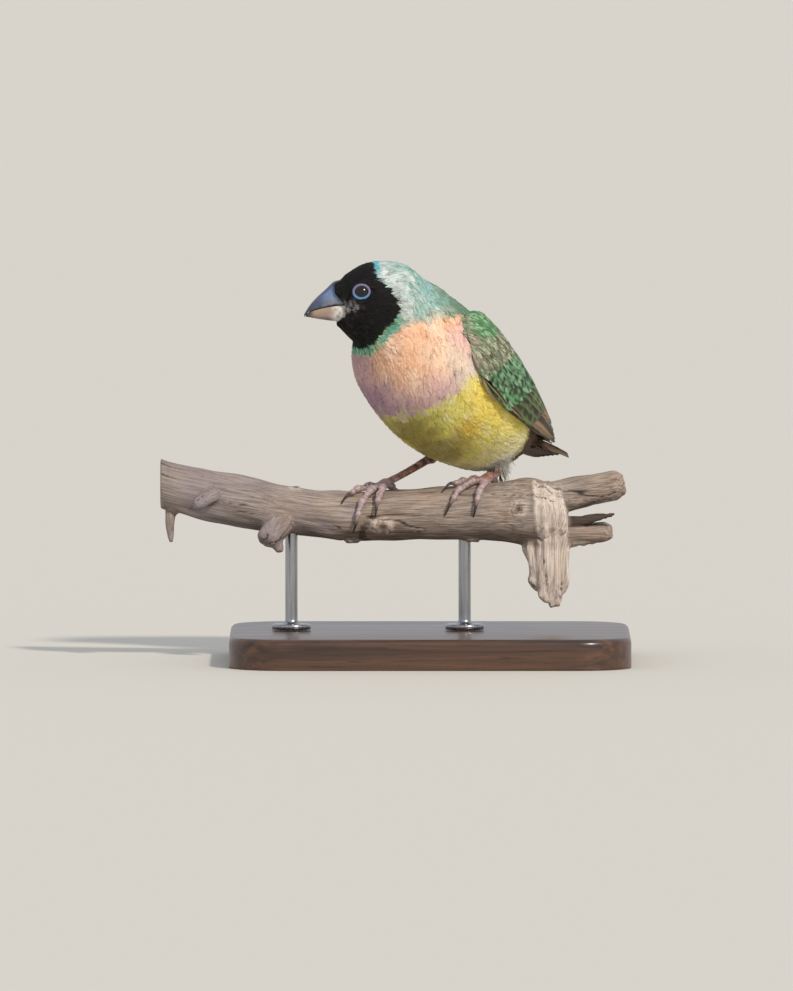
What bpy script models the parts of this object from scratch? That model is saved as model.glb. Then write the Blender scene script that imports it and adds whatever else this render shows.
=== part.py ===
"""A museum model of a Gouldian finch gripping a cut length of dead branch on a plain display stand.

Sizes are in millimetres and become metres where a mesh is made. The origin is the middle of the
stand's underside, +Z is up, the branch lies along X, and the bird is seen by looking along +Y.
The bird has two frames of its own, one for the body and one for the turned head: each has its
axes forward (a), to the bird's left (b) and towards its back or crown (c).
"""

import math

import bmesh
import bpy
import numpy as np
from mathutils import Matrix, Vector

MM = 0.001
GAP = 0.3

# The stand
BASE_LENGTH, BASE_DEPTH, BASE_HEIGHT = 104.0, 84.0, 8.0
BASE_CORNER, BASE_EDGE = 14.0, 1.6
ROD_RADIUS, ROD_FOOT_RADIUS, ROD_FOOT_HEIGHT = 1.6, 5.0, 1.4
ROD_SOCKET = 3.0
ROD_STATIONS = {"stand_rod_left": -36.0, "stand_rod_right": 9.0}

# The branch: its axis is a curve through rows of X, height above PERCH_HEIGHT and radius
PERCH_HEIGHT = 38.0
PERCH_AXIS = [
    (-70.0, 8.2, 6.5),
    (-59.0, 5.4, 6.6),
    (-46.0, 3.0, 6.7),
    (-34.0, 0.9, 6.2),
    (-21.0, -0.3, 6.4),
    (-8.0, 0.1, 6.6),
    (5.0, 0.4, 7.0),
    (18.0, 0.8, 7.6),
    (28.0, 0.6, 8.4),
    (34.5, -0.4, 6.6),
]
PERCH_SIDES, PERCH_RINGS = 16, 20

# What is left of its side twigs: the points of each one's middle line, heights above PERCH_HEIGHT,
# the radius at each point, and how deep it is for its width
TWIGS = {
    "upper_fork": (
        [(26.0, 0.0, 3.4), (36.0, 0.4, 5.4), (44.0, 0.6, 6.9), (50.4, 0.8, 8.0)],
        [4.4, 4.3, 4.0, 3.7],
        1.0,
    ),
    "lower_fork": (
        [(31.0, 0.0, -4.6), (37.0, -0.6, -5.0), (42.0, -1.0, -4.8), (47.2, -1.4, -4.2)],
        [3.6, 3.1, 2.7, 2.4],
        1.0,
    ),
    "broken_end": (
        [(30.0, -1.5, 2), (30.2, -2.0, -5), (30.6, -2.4, -11.7), (31.7, -2.8, -19), (32.4, -3.0, -23.6)],
        [5.6, 6.2, 5.8, 4.2, 1.8],
        0.6,
    ),
    "old_stub": ([(-54.0, -3.0, 5.6), (-57.6, -7.4, 4.6), (-61.0, -11.0, 3.0)], [2.6, 2.1, 1.5], 1.0),
    "knob": ([(-37.0, -2.0, 0.0), (-40.2, -5.4, -3.4), (-42.6, -8.4, -6.6)], [3.6, 3.5, 2.9], 1.0),
    "knob_nub": ([(-40.4, -6.0, -4.0), (-38.9, -7.4, -9.4)], [1.8, 1.2], 1.0),
    "spur": ([(-67.0, -1.0, 2.4), (-67.4, -1.4, -2.6), (-67.2, -1.6, -7.0)], [1.7, 1.2, 0.7], 1.0),
}
# Healed knots: X, the angle round the branch (0 in front, 90 on top) and the radius
KNOTS = [(-12.2, -25.0, 2.5), (-20.3, -84.0, 2.1), (10.9, -80.0, 2.1), (-35.0, 78.0, 1.6), (23.0, 8.0, 1.9)]

# The bird's stance
BODY_CENTRE = (3.2, -6.5, PERCH_HEIGHT + 35.6)
BODY_HEADING, BODY_PITCH = 235.0, 28.0
HEAD_CENTRE = (-16.3, -20.5, PERCH_HEIGHT + 57.5)
HEAD_HEADING, HEAD_PITCH = 183.0, 0.0
NECK_CENTRE = (-5.2, -14.6, PERCH_HEIGHT + 50.6)
NECK_HEADING, NECK_PITCH = 210.0, 24.0

# Rows of station a, half width, height above and depth below the mid line, and the mid line's c
TORSO = [
    (-39.5, 5.2, 2.4, 5.0, 3.4),
    (-34.0, 9.4, 4.6, 10.6, 2.6),
    (-27.0, 13.2, 7.2, 15.2, 1.6),
    (-18.0, 16.1, 11.0, 17.4, 0.8),
    (-8.0, 17.9, 14.4, 19.0, 0.2),
    (2.0, 18.5, 17.0, 19.0, 0.0),
    (11.0, 18.4, 17.9, 17.0, 0.0),
    (19.0, 16.5, 17.2, 14.0, 0.0),
    (25.0, 12.2, 13.2, 9.2, 0.4),
    (29.0, 6.0, 6.8, 4.8, 1.0),
]
HEAD = [
    (-17.0, 5.0, 4.5, 5.0, -3.5),
    (-13.0, 8.8, 8.6, 9.5, -2.2),
    (-8.0, 10.0, 10.2, 12.0, -1.0),
    (-4.0, 9.9, 10.1, 13.0, -0.4),
    (0.0, 9.1, 9.5, 12.7, -0.4),
    (3.0, 7.9, 8.5, 11.5, -0.4),
    (6.0, 6.1, 6.8, 9.0, -0.4),
    (8.4, 4.1, 4.6, 5.8, -0.6),
]
NECK = [
    (-13.0, 5.0, 4.6, 5.0, 0.0),
    (-9.0, 9.8, 9.0, 10.0, 0.0),
    (0.0, 13.2, 11.8, 13.2, 0.0),
    (8.0, 10.6, 9.8, 11.0, 0.0),
    (12.5, 5.6, 5.4, 6.0, 0.0),
]
BODY_VOXEL, BODY_SMOOTHING = 1.0, 8
HEAD_SHARE, TORSO_SHARE = 0.24, 0.15

# Where the body is divided: a point and the direction in which the next part lies
HEAD_CUT = ((-7.6, 0.0, -4.2), (-0.86, 0.0, -0.51))
NECK_CUT = ((16.5, 0.0, 8.0), (0.757, -0.06, 0.654))
TAIL_CUT = ((-33.0, 0.0, 3.0), (-1.0, 0.0, 0.0))

# Bill sections in the head frame: station a, half width, and the c of its upper and lower lines
BILL_UPPER = [
    (6.4, 3.8, 4.6, -1.75),
    (8.8, 3.6, 3.9, -1.95),
    (10.7, 3.1, 2.1, -2.15),
    (12.8, 2.4, 0.2, -2.5),
    (14.4, 1.6, -1.5, -3.0),
    (15.6, 0.9, -3.2, -3.9),
    (16.3, 0.4, -4.4, -5.1),
]
BILL_LOWER = [
    (5.8, 3.6, -2.1, -6.6),
    (8.0, 3.4, -2.25, -6.3),
    (10.7, 2.8, -2.5, -5.9),
    (12.8, 2.1, -2.85, -5.6),
    (14.4, 1.35, -3.35, -5.3),
    (15.4, 0.6, -3.9, -5.0),
]
BILL_SIDES, BILL_RINGS, MOUTH_ARCH = 14, 9, 0.08
NOSTRIL_PLACE, NOSTRIL_RADIUS = (9.7, 2.55, 2.1), 0.45

# The eye in the head frame
EYE_PLACE = (1.55, 1.6)
EYE_RADIUS, EYE_DEPTH = 2.1, 1.35
LID_RADIUS, LID_THICKNESS, LID_STRETCH, LID_STEPS, LID_SIDES = 2.05, 0.5, 1.1, 18, 6
LID_FACING = (0.25, 1.0, 0.12)

# A folded wing lies on a bed over the torso, given by rows like the torso's. The core of the wing
# covers the bed from a low to a high angle (0 at the bird's side, 90 on its back), and is a thin
# lens with a thickness of its own
WING_BED = [
    (-46.0, 6.6, 4.8, 4.0, 4.4),
    (-36.0, 9.8, 6.0, 9.0, 3.2),
    (-27.0, 13.8, 8.0, 16.0, 1.8),
    (-18.0, 16.7, 11.6, 19.0, 0.8),
    (-8.0, 18.4, 15.0, 20.8, 0.2),
    (2.0, 19.1, 17.6, 20.0, 0.0),
    (11.0, 18.9, 18.5, 18.0, 0.0),
    (19.0, 17.1, 17.8, 15.0, 0.0),
]
WING_EDGES = [
    (-43.0, -12.0, 20.0, 0.6),
    (-38.0, -13.0, 50.0, 0.8),
    (-30.0, -14.0, 76.0, 0.8),
    (-16.0, -14.0, 77.0, 0.8),
    (-4.0, -15.0, 68.0, 0.9),
    (5.0, -15.0, 58.0, 1.0),
    (11.0, -6.0, 50.0, 1.1),
    (15.0, 6.0, 42.0, 1.0),
    (17.5, 16.0, 34.0, 0.8),
]
WING_RINGS, WING_POINTS = 11, 6
CORE_EDGE = 0.55
# Tiers of feathers on the core, from the tip of the wing forward: how many, the station and angle of
# the lowest and highest one's root and of their tips, half a feather's width, and how far the lowest
# and highest one's tip stands out of the core
WING_TIERS = {
    "primary": (6, (-6.0, -10.0), (-14.0, 14.0), (-46.2, -2.0), (-35.5, 40.0), 2.1, 0.2, 0.45),
    "secondary": (5, (-1.0, -9.0), (-6.0, 34.0), (-21.0, -11.0), (-31.0, 44.0), 2.7, 0.4, 0.5),
    "tertial": (3, (-3.0, 40.0), (0.0, 62.0), (-34.0, 56.0), (-24.0, 72.0), 3.3, 0.55, 0.7),
    "greater_covert": (7, (8.0, -6.0), (5.0, 46.0), (-6.0, -12.0), (-10.0, 56.0), 2.3, 0.75, 0.8),
    "median_covert": (6, (13.5, 8.0), (11.5, 42.0), (3.5, -9.0), (0.0, 52.0), 2.5, 0.9, 0.95),
}
# Shares of a feather's length, and its width there as a share of its widest
VANE_PROFILE = [(0.0, 0.7), (0.4, 1.0), (0.84, 0.88), (1.0, 0.3)]
VANE_SINK, VANE_TILT, VANE_BED, VANE_WAVER = 0.3, 0.2, 0.12, 0.5
# The tail bends to the bird's right, and from this station back the wings' tips lean with it
LEAN_START, LEAN_END, LEAN = -28.0, -46.0, -1.5

# The tail in the body frame: rows of a and the b and c of its middle line
TAIL_LINE = [
    (-66.0, -3.8, 9.6),
    (-59.0, -3.2, 8.2),
    (-52.0, -2.4, 6.6),
    (-44.0, -1.4, 4.6),
    (-38.0, -0.6, 3.2),
    (-33.3, 0.0, 2.5),
]
# The coverts at its root: rows of a, half width, and height above and depth below the line
TAIL_COVERTS = [
    (-50.0, 2.6, 0.5, 1.6),
    (-44.0, 4.6, 1.4, 3.4),
    (-38.0, 6.6, 3.4, 6.4),
    (-33.3, 9.2, 4.4, 10.2),
]
TAIL_SIDES, TAIL_RINGS = 12, 6
# Six feathers a side: the middle pair is the longest and lies on top, and each next one lies a
# step further out, lower and more tilted, like a roof
TAIL_FEATHERS = 6
TAIL_ROOT, TAIL_TIP, TAIL_TIP_STEP = -38.0, -64.6, 0.9
TAIL_START, TAIL_STEP, TAIL_DROP, TAIL_ROOF = 0.7, 0.62, 0.4, (0.1, 0.06)
TAIL_HALF_WIDTH, TAIL_THICKNESS = 2.3, 0.75

# Each leg, with heights above PERCH_HEIGHT: the thigh's line from inside the body to the hock, the X
# of the foot on the branch, and each toe's route as rows of X and angle round the branch
LEGS = {
    "left": {
        "thigh": ((18.8, 4.6, 20.0), (17.7, 2.9, 11.3)),
        "foot": 15.4,
        "inner": [(14.8, 92.0), (11.4, 92.0), (8.4, 84.0), (6.4, 73.0)],
        "middle": [(14.8, 88.0), (10.8, 72.0), (7.6, 50.0), (6.0, 30.0)],
        "outer": [(15.2, 85.0), (13.9, 62.0), (12.8, 42.0), (12.2, 24.0)],
        "hind": [(15.7, 95.0), (16.5, 114.0), (17.1, 134.0), (17.4, 148.0)],
    },
    "right": {
        "thigh": ((4.6, 1.6, 23.0), (-0.3, 5.2, 14.4)),
        "foot": -11.7,
        "inner": [(-11.6, 87.0), (-12.4, 66.0), (-13.2, 46.0), (-13.6, 30.0)],
        "middle": [(-12.1, 88.0), (-15.2, 62.0), (-17.6, 32.0), (-18.8, 2.0)],
        "outer": [(-12.2, 91.0), (-15.8, 84.0), (-18.8, 70.0), (-20.4, 56.0)],
        "hind": [(-11.2, 94.0), (-10.0, 114.0), (-9.0, 134.0), (-8.6, 148.0)],
    },
}
THIGH_RADII = (4.6, 1.45)
HOCK_RADIUS, TARSUS_RADIUS = 1.2, 0.92
TOE_RADIUS, TOE_TIP_RADIUS, TOE_LIFT = 0.95, 0.68, 0.35
CLAW_LENGTHS = {"inner": 3.8, "middle": 4.4, "outer": 3.8, "hind": 5.0}
CLAW_RADIUS, CLAW_TIP_RADIUS, CLAW_ARCH = 0.6, 0.14, 0.8

BLACK_MASK = (0.012, 0.011, 0.012)
NAPE_GREEN = (0.28, 0.46, 0.36)
BREAST_LILAC = (0.62, 0.36, 0.33)
WING_GREEN = (0.10, 0.24, 0.11)
TAIL_BROWN = (0.07, 0.045, 0.03)
BELLY_YELLOW = (0.60, 0.47, 0.09)
BILL_GREY = (0.16, 0.17, 0.22)
BILL_HORN = (0.55, 0.42, 0.38)
EYE_DARK = (0.01, 0.008, 0.008)
LEG_PINK = (0.50, 0.26, 0.22)
CLAW_HORN = (0.12, 0.09, 0.08)
WOOD_GREY = (0.36, 0.30, 0.26)
BASE_WOOD = (0.10, 0.055, 0.03)
ROD_STEEL = (0.35, 0.35, 0.36)


def clear_scene():
    for old in list(bpy.data.objects):
        bpy.data.objects.remove(old)


def collection(name, hidden=False):
    made = bpy.data.collections.new(name)
    bpy.context.scene.collection.children.link(made)
    made.hide_render = hidden
    return made


def material(name, colour, roughness=0.6, metallic=0.0):
    made = bpy.data.materials.get(name) or bpy.data.materials.new(name)
    made.use_nodes = True
    shader = made.node_tree.nodes["Principled BSDF"]
    shader.inputs["Base Color"].default_value = (*colour, 1.0)
    shader.inputs["Roughness"].default_value = roughness
    shader.inputs["Metallic"].default_value = metallic
    return made


def frame(centre, heading, pitch):
    """A matrix from (forward, left, up) to the model's frame, in millimetres."""
    turn, rise = math.radians(heading), math.radians(pitch)
    forward = Vector((math.cos(turn) * math.cos(rise), math.sin(turn) * math.cos(rise), math.sin(rise)))
    left = Vector((-math.sin(turn), math.cos(turn), 0.0))
    made = Matrix((forward, left, forward.cross(left))).transposed().to_4x4()
    made.translation = Vector(centre)
    return made


BODY_FRAME = frame(BODY_CENTRE, BODY_HEADING, BODY_PITCH)
HEAD_FRAME = frame(HEAD_CENTRE, HEAD_HEADING, HEAD_PITCH)
NECK_FRAME = frame(NECK_CENTRE, NECK_HEADING, NECK_PITCH)


def along(rows, station):
    """The rest of a row, read at a station from a smooth curve through all the rows."""
    table = np.array(rows, float)
    stations, values = table[:, 0], table[:, 1:]
    slopes = np.gradient(values, stations, axis=0)
    i = int(np.clip(np.searchsorted(stations, station) - 1, 0, len(stations) - 2))
    step = stations[i + 1] - stations[i]
    t = (station - stations[i]) / step
    return (
        (2 * t**3 - 3 * t**2 + 1) * values[i]
        + (t**3 - 2 * t**2 + t) * step * slopes[i]
        + (3 * t**2 - 2 * t**3) * values[i + 1]
        + (t**3 - t**2) * step * slopes[i + 1]
    )


def even_steps(first, last, count):
    return [first + (last - first) * i / (count - 1) for i in range(count)]


def end_steps(first, last, count):
    """Steps that lie closer together towards both ends."""
    return [first + (last - first) * (0.5 - 0.5 * math.cos(math.pi * i / (count - 1))) for i in range(count)]


def add_object(name, mesh, home, look=None):
    made = bpy.data.objects.new(name, mesh)
    home.objects.link(made)
    if look:
        mesh.materials.clear()
        mesh.materials.append(look)
    return made


def loft(name, rings, home, look=None):
    """A closed skin over rings of points, in millimetres, with a point in the middle of each end."""
    shape = bmesh.new()
    rows = [[shape.verts.new(Vector(p) * MM) for p in ring] for ring in rings]
    count = len(rows[0])
    for low, high in zip(rows, rows[1:]):
        for i in range(count):
            j = (i + 1) % count
            shape.faces.new((low[i], low[j], high[j], high[i]))
    for end in (rows[0], rows[-1]):
        middle = shape.verts.new(sum((v.co for v in end), Vector()) / count)
        for i in range(count):
            shape.faces.new((end[i], end[(i + 1) % count], middle))
    bmesh.ops.recalc_face_normals(shape, faces=shape.faces)
    mesh = bpy.data.meshes.new(name)
    shape.to_mesh(mesh)
    shape.free()
    return add_object(name, mesh, home, look)


def egg_point(place, station, angle, width, top, bottom, middle, grow=0.0):
    """A point on a ring across a frame's forward axis: angle 0 is at its left and 90 at its top."""
    across, rise = math.cos(math.radians(angle)), math.sin(math.radians(angle))
    height = (top if rise > 0 else bottom) + grow
    return place @ Vector((station, (width + grow) * across, middle + height * rise))


def egg_loft(name, place, rows, rings, sides, home):
    """A loft of egg rings through the rows of a table, closer together towards its two ends."""
    angles = [360 * (i + 0.5) / sides for i in range(sides)]
    stations = end_steps(rows[0][0], rows[-1][0], rings)
    return loft(name, [[egg_point(place, s, t, *along(rows, s)) for t in angles] for s in stations], home)


def tube(name, points, radii, home, sides=8, look=None, deep=1.0):
    """A closed round skin along a line of points; deep is its depth along Y for its width."""
    line = [Vector(p) for p in points]
    last = len(line) - 1
    rings, side = [], None
    for i, (point, radius) in enumerate(zip(line, radii)):
        ahead = (line[min(i + 1, last)] - line[max(i - 1, 0)]).normalized()
        side = (side - ahead * side.dot(ahead)).normalized() if side else ahead.orthogonal().normalized()
        other = ahead.cross(side)
        ring = []
        for j in range(sides):
            turn = 2 * math.pi * j / sides
            reach = (side * math.cos(turn) + other * math.sin(turn)) * radius
            ring.append(point + Vector((reach.x, reach.y * deep, reach.z)))
        rings.append(ring)
    return loft(name, rings, home, look)


def sphere(name, centre, radius, home, segments=16, rings=10, look=None):
    shape = bmesh.new()
    bmesh.ops.create_uvsphere(shape, u_segments=segments, v_segments=rings, radius=radius * MM)
    bmesh.ops.translate(shape, verts=shape.verts, vec=Vector(centre) * MM)
    mesh = bpy.data.meshes.new(name)
    shape.to_mesh(mesh)
    shape.free()
    return add_object(name, mesh, home, look)


def evaluated_mesh(obj):
    graph = bpy.context.evaluated_depsgraph_get()
    return bpy.data.meshes.new_from_object(obj.evaluated_get(graph))


def apply_modifiers(obj):
    """Gives an object the mesh that its modifiers make, and drops the modifiers."""
    bpy.context.view_layer.update()
    mesh = evaluated_mesh(obj)
    obj.modifiers.clear()
    obj.data = mesh
    return obj


def drop(objects):
    for old in list(objects):
        bpy.data.objects.remove(old)


def largest_surface(obj):
    """Keeps only the largest closed surface of an object's mesh."""
    shape = bmesh.new()
    shape.from_mesh(obj.data)
    left = set(shape.verts)
    islands = []
    while left:
        island, edge = set(), [left.pop()]
        while edge:
            vert = edge.pop()
            island.add(vert)
            near = {link.other_vert(vert) for link in vert.link_edges} & left
            left -= near
            edge.extend(near)
        islands.append(island)
    islands.sort(key=len)
    loose = [vert for island in islands[:-1] for vert in island]
    bmesh.ops.delete(shape, geom=loose, context="VERTS")
    shape.to_mesh(obj.data)
    shape.free()
    return obj


def boolean(obj, other, operation):
    """Joins or cuts an object with another one or with a collection, whose objects are then removed."""
    cut = obj.modifiers.new(operation.lower(), "BOOLEAN")
    cut.operation, cut.solver = operation, "EXACT"
    if isinstance(other, bpy.types.Collection):
        cut.operand_type, cut.collection = "COLLECTION", other
        used = list(other.objects)
    else:
        cut.object = other
        used = [other]
    apply_modifiers(obj)
    drop(used)
    return largest_surface(obj)


def grown_copy(obj, by, home):
    """A copy of a closed mesh with its points moved out along their normals."""
    shape = bmesh.new()
    shape.from_mesh(obj.data)
    shape.normal_update()
    for vert, normal in [(vert, vert.normal.copy()) for vert in shape.verts]:
        vert.co += normal * by * MM
    mesh = bpy.data.meshes.new(obj.name + "_grown")
    shape.to_mesh(mesh)
    shape.free()
    return add_object(mesh.name, mesh, home)


def cut_by_planes(name, source, planes, home, look):
    """The part of a closed mesh that lies behind each plane by half the gap, with each cut filled."""
    shape = bmesh.new()
    shape.from_mesh(source.data)
    for point, normal in planes:
        away = Vector(normal).normalized()
        cut = bmesh.ops.bisect_plane(
            shape,
            geom=shape.verts[:] + shape.edges[:] + shape.faces[:],
            dist=1e-7,
            plane_co=(Vector(point) - away * GAP / 2) * MM,
            plane_no=away,
            clear_outer=True,
        )
        edges = [item for item in cut["geom_cut"] if isinstance(item, bmesh.types.BMEdge)]
        bmesh.ops.triangle_fill(shape, use_beauty=True, edges=edges)
    bmesh.ops.recalc_face_normals(shape, faces=shape.faces)
    mesh = bpy.data.meshes.new(name)
    shape.to_mesh(mesh)
    shape.free()
    return add_object(name, mesh, home, look)


def perch_point(x, angle, lift=0.0):
    """A point on or over the branch: angle 0 is its front, which faces the viewer, and 90 its top."""
    height, radius = along(PERCH_AXIS, x)
    turn = math.radians(angle)
    reach = radius + lift
    return Vector((x, -reach * math.cos(turn), PERCH_HEIGHT + height + reach * math.sin(turn)))


def raised(point):
    """A point whose height was given above PERCH_HEIGHT."""
    return Vector(point) + Vector((0.0, 0.0, PERCH_HEIGHT))


def body_form(share, helpers):
    """Torso, neck and head as one smooth skin, with a share of its faces kept."""
    pieces = [
        egg_loft("neck_form", NECK_FRAME, NECK, 12, 20, helpers),
        egg_loft("head_form", HEAD_FRAME, HEAD, 16, 24, helpers),
    ]
    body = egg_loft("body_form", BODY_FRAME, TORSO, 22, 28, helpers)
    for piece in pieces:
        boolean(body, piece, "UNION")
    remesh = body.modifiers.new("even", "REMESH")
    remesh.mode, remesh.voxel_size = "VOXEL", BODY_VOXEL * MM
    smooth = body.modifiers.new("smooth", "SMOOTH")
    smooth.factor, smooth.iterations = 0.5, BODY_SMOOTHING
    fewer = body.modifiers.new("fewer", "DECIMATE")
    fewer.ratio = share
    return apply_modifiers(body)


def placed_plane(place, cut, turned=False):
    """A dividing plane, given in a frame, in the model's frame; turned, it faces the other part."""
    point, normal = cut
    facing = place.to_3x3() @ Vector(normal)
    return place @ Vector(point), -facing if turned else facing


def bill_ring(station, width, upper, lower, round_top):
    """A section of one half of the bill: rounded on its outer side and slightly arched at the mouth."""
    ring = []
    for i in range(BILL_SIDES):
        turn = 2 * math.pi * i / BILL_SIDES
        across, rise = math.cos(turn), math.sin(turn)
        mouth, outer, outwards = (lower, upper, rise > 0) if round_top else (upper, lower, rise < 0)
        depth = (outer - mouth) if outwards else abs(outer - mouth) * MOUTH_ARCH
        ring.append(HEAD_FRAME @ Vector((station, width * across, mouth + depth * abs(rise))))
    return ring


def bill_half(name, rows, round_top, home, look):
    first, last = rows[0][0], rows[-1][0]
    rings = []
    for station in even_steps(first, last, BILL_RINGS):
        width, upper, lower = along(rows, station)
        rings.append(bill_ring(station, width, upper, lower, round_top))
    return loft(name, rings, home, look)


def eye_centre(side):
    """The middle of an eyeball in the model's frame; side is 1 at the bird's left and -1 at its right."""
    station, height = EYE_PLACE
    width, top, bottom, middle = along(HEAD, station)
    reach = width * math.sqrt(1 - ((height - middle) / top) ** 2)
    return HEAD_FRAME @ Vector((station, side * (reach - EYE_DEPTH), height))


def lid_ring(name, side, home):
    """The ring of bare skin round an eye, as a torus that stands a little out of the head."""
    ahead, aside, above = LID_FACING
    outward = (HEAD_FRAME.to_3x3() @ Vector((ahead, side * aside, above))).normalized()
    upright = HEAD_FRAME.to_3x3() @ Vector((0.0, 0.0, 1.0))
    forward = outward.cross(upright).normalized()
    place = Matrix((forward.cross(outward), forward * LID_STRETCH, outward)).transposed().to_4x4()
    place.translation = (eye_centre(side) + outward * EYE_DEPTH) * MM
    bpy.ops.mesh.primitive_torus_add(
        major_segments=LID_STEPS,
        minor_segments=LID_SIDES,
        major_radius=LID_RADIUS * MM,
        minor_radius=LID_THICKNESS * MM,
    )
    mesh = bpy.context.active_object.data
    drop([bpy.context.active_object])
    mesh.transform(place)
    return add_object(name, mesh, home)


def build_head(model, helpers):
    """The head with its lids, eye sockets and the seat of the bill, and the eyes and bill in them."""
    mask = material("black_mask", BLACK_MASK, 0.7)
    body = body_form(HEAD_SHARE, helpers)
    planes = [placed_plane(HEAD_FRAME, HEAD_CUT), placed_plane(BODY_FRAME, NECK_CUT, True)]
    head = cut_by_planes("head", body, planes, model, mask)
    drop([body])
    dark = material("eye", EYE_DARK, 0.05)
    for side, word in ((1, "left"), (-1, "right")):
        boolean(head, lid_ring("lids", side, helpers), "UNION")
        boolean(head, sphere("socket", eye_centre(side), EYE_RADIUS + GAP, helpers, 14, 8), "DIFFERENCE")
        sphere("eye_" + word, eye_centre(side), EYE_RADIUS, model, 14, 8, dark)
    upper = bill_half("bill_upper", BILL_UPPER, True, model, material("bill_grey", BILL_GREY, 0.35))
    lower = bill_half("bill_lower", BILL_LOWER, False, model, material("bill_horn", BILL_HORN, 0.35))
    for half in (upper, lower):
        boolean(head, grown_copy(half, GAP, helpers), "DIFFERENCE")
    station, reach, height = NOSTRIL_PLACE
    for side in (1, -1):
        place = HEAD_FRAME @ Vector((station, side * reach, height))
        boolean(upper, sphere("nostril", place, NOSTRIL_RADIUS, helpers, 8, 6), "DIFFERENCE")
    return head


def thin_loft(name, rings, home):
    """A closed skin over flat rings of four points, with the same diagonals on both of its faces."""
    shape = bmesh.new()
    rows = [[shape.verts.new(Vector(p) * MM) for p in ring] for ring in rings]
    for low, high in zip(rows, rows[1:]):
        for i in range(4):
            j = (i + 1) % 4
            if i < 2:
                shape.faces.new((low[i], low[j], high[j]))
                shape.faces.new((low[i], high[j], high[i]))
            else:
                shape.faces.new((low[i], low[j], high[i]))
                shape.faces.new((low[j], high[j], high[i]))
    for end in (rows[0], rows[-1]):
        shape.faces.new((end[0], end[1], end[2]))
        shape.faces.new((end[0], end[2], end[3]))
    bmesh.ops.recalc_face_normals(shape, faces=shape.faces)
    mesh = bpy.data.meshes.new(name)
    shape.to_mesh(mesh)
    shape.free()
    return add_object(name, mesh, home)


def wing_point(station, angle, lift, side):
    """A point over the bed of a wing; side is 1 at the bird's left and -1 at its right."""
    width, top, bottom, middle = along(WING_BED, station)
    across, rise = math.cos(math.radians(angle)), math.sin(math.radians(angle))
    height = (top if rise > 0 else bottom) + lift
    lean = LEAN * min(1.0, max(0.0, (station - LEAN_START) / (LEAN_END - LEAN_START))) ** 2
    return BODY_FRAME @ Vector((station, lean + side * (width + lift) * across, middle + height * rise))


def core_lift(station, angle):
    """How far the outer face of a wing's core lies over the bed."""
    low, high, thick = along(WING_EDGES, min(max(station, WING_EDGES[0][0]), WING_EDGES[-1][0]))
    across = min(1.0, abs(2 * (angle - low) / (high - low) - 1))
    return max(CORE_EDGE, thick * (1 - across**4))


def wing_core(side, home):
    rings = []
    for station in end_steps(WING_EDGES[0][0], WING_EDGES[-1][0], WING_RINGS):
        low, high, _ = along(WING_EDGES, station)
        angles = even_steps(low, high, WING_POINTS)
        outer = [wing_point(station, angle, core_lift(station, angle), side) for angle in angles]
        inner = [wing_point(station, angle, 0.0, side) for angle in angles]
        rings.append(outer + inner[::-1])
    return loft("wing_core", rings, home)


def wing_vane(name, root, tip, half_width, height, side, home):
    """One feather along the bed from its root, sunk in the core, to its tip, lowest at its upper edge."""
    rings = []
    for share, width in VANE_PROFILE:
        station, angle = (low + (high - low) * share for low, high in zip(root, tip))
        bed_width, bed_top, _, _ = along(WING_BED, station)
        radius = (bed_width + bed_top) / 2
        run = Vector((tip[0] - root[0], math.radians(tip[1] - root[1]) * radius)).normalized()
        edges = []
        for across in (-1, 1):
            reach = across * half_width * width
            place = (station + run.y * reach, angle - math.degrees(run.x * reach / radius))
            cover = core_lift(*place)
            top = cover + height * min(1.0, share * 2) - VANE_SINK * (1 - share) ** 2 - VANE_TILT * across
            bottom = max(VANE_BED, cover - 0.6)
            edges.append((place, max(top, bottom + 0.5), bottom))
        (low, low_top, low_bottom), (high, high_top, high_bottom) = edges
        rings.append([
            wing_point(*low, low_top, side),
            wing_point(*high, high_top, side),
            wing_point(*high, high_bottom, side),
            wing_point(*low, low_bottom, side),
        ])
    return thin_loft(name, rings, home)


def build_wing(name, side, model, helpers, look):
    """A folded wing: a thin core from the bend of the wing back, with its feathers on it in tiers."""
    draws = np.random.default_rng(11)
    whole = wing_core(side, helpers)
    vanes = collection(name + "_vanes", hidden=True)
    for tier, (count, first_root, last_root, first_tip, last_tip, width, low, high) in WING_TIERS.items():
        for i in range(count):
            t = i / (count - 1)
            root = Vector(first_root).lerp(Vector(last_root), t)
            tip = Vector(first_tip).lerp(Vector(last_tip), t)
            tip.x += VANE_WAVER * draws.uniform(-1, 1)
            wing_vane(tier, root, tip, width, low + (high - low) * t, side, vanes)
    boolean(whole, vanes, "UNION")
    wing = cut_by_planes(name, whole, [placed_plane(BODY_FRAME, NECK_CUT)], model, look)
    drop([whole])
    return wing


def tail_place(station, across, rise):
    """A point beside or over the tail's middle line."""
    middle_across, middle_rise = along(TAIL_LINE, station)
    return BODY_FRAME @ Vector((station, middle_across + across, middle_rise + rise))


def tail_vane(i, side, home):
    """One tail feather: i counts outwards from the middle pair."""
    tip = TAIL_TIP + TAIL_TIP_STEP * i
    slope = -side * (TAIL_ROOF[0] + TAIL_ROOF[1] * i)
    rings = []
    for share, width in VANE_PROFILE:
        station = TAIL_ROOT + (tip - TAIL_ROOT) * share
        middle = side * (TAIL_START + TAIL_STEP * i * (0.7 + 0.5 * share))
        rise = -TAIL_DROP * (i + 0.4 * (side < 0))
        half, thick = TAIL_HALF_WIDTH * width, TAIL_THICKNESS
        corners = [(half, thick / 2), (-half, thick / 2), (-half, -thick / 2), (half, -thick / 2)]
        rings.append([tail_place(station, middle + x, rise + slope * x + z) for x, z in corners])
    return thin_loft("tail_vane", rings, home)


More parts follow.
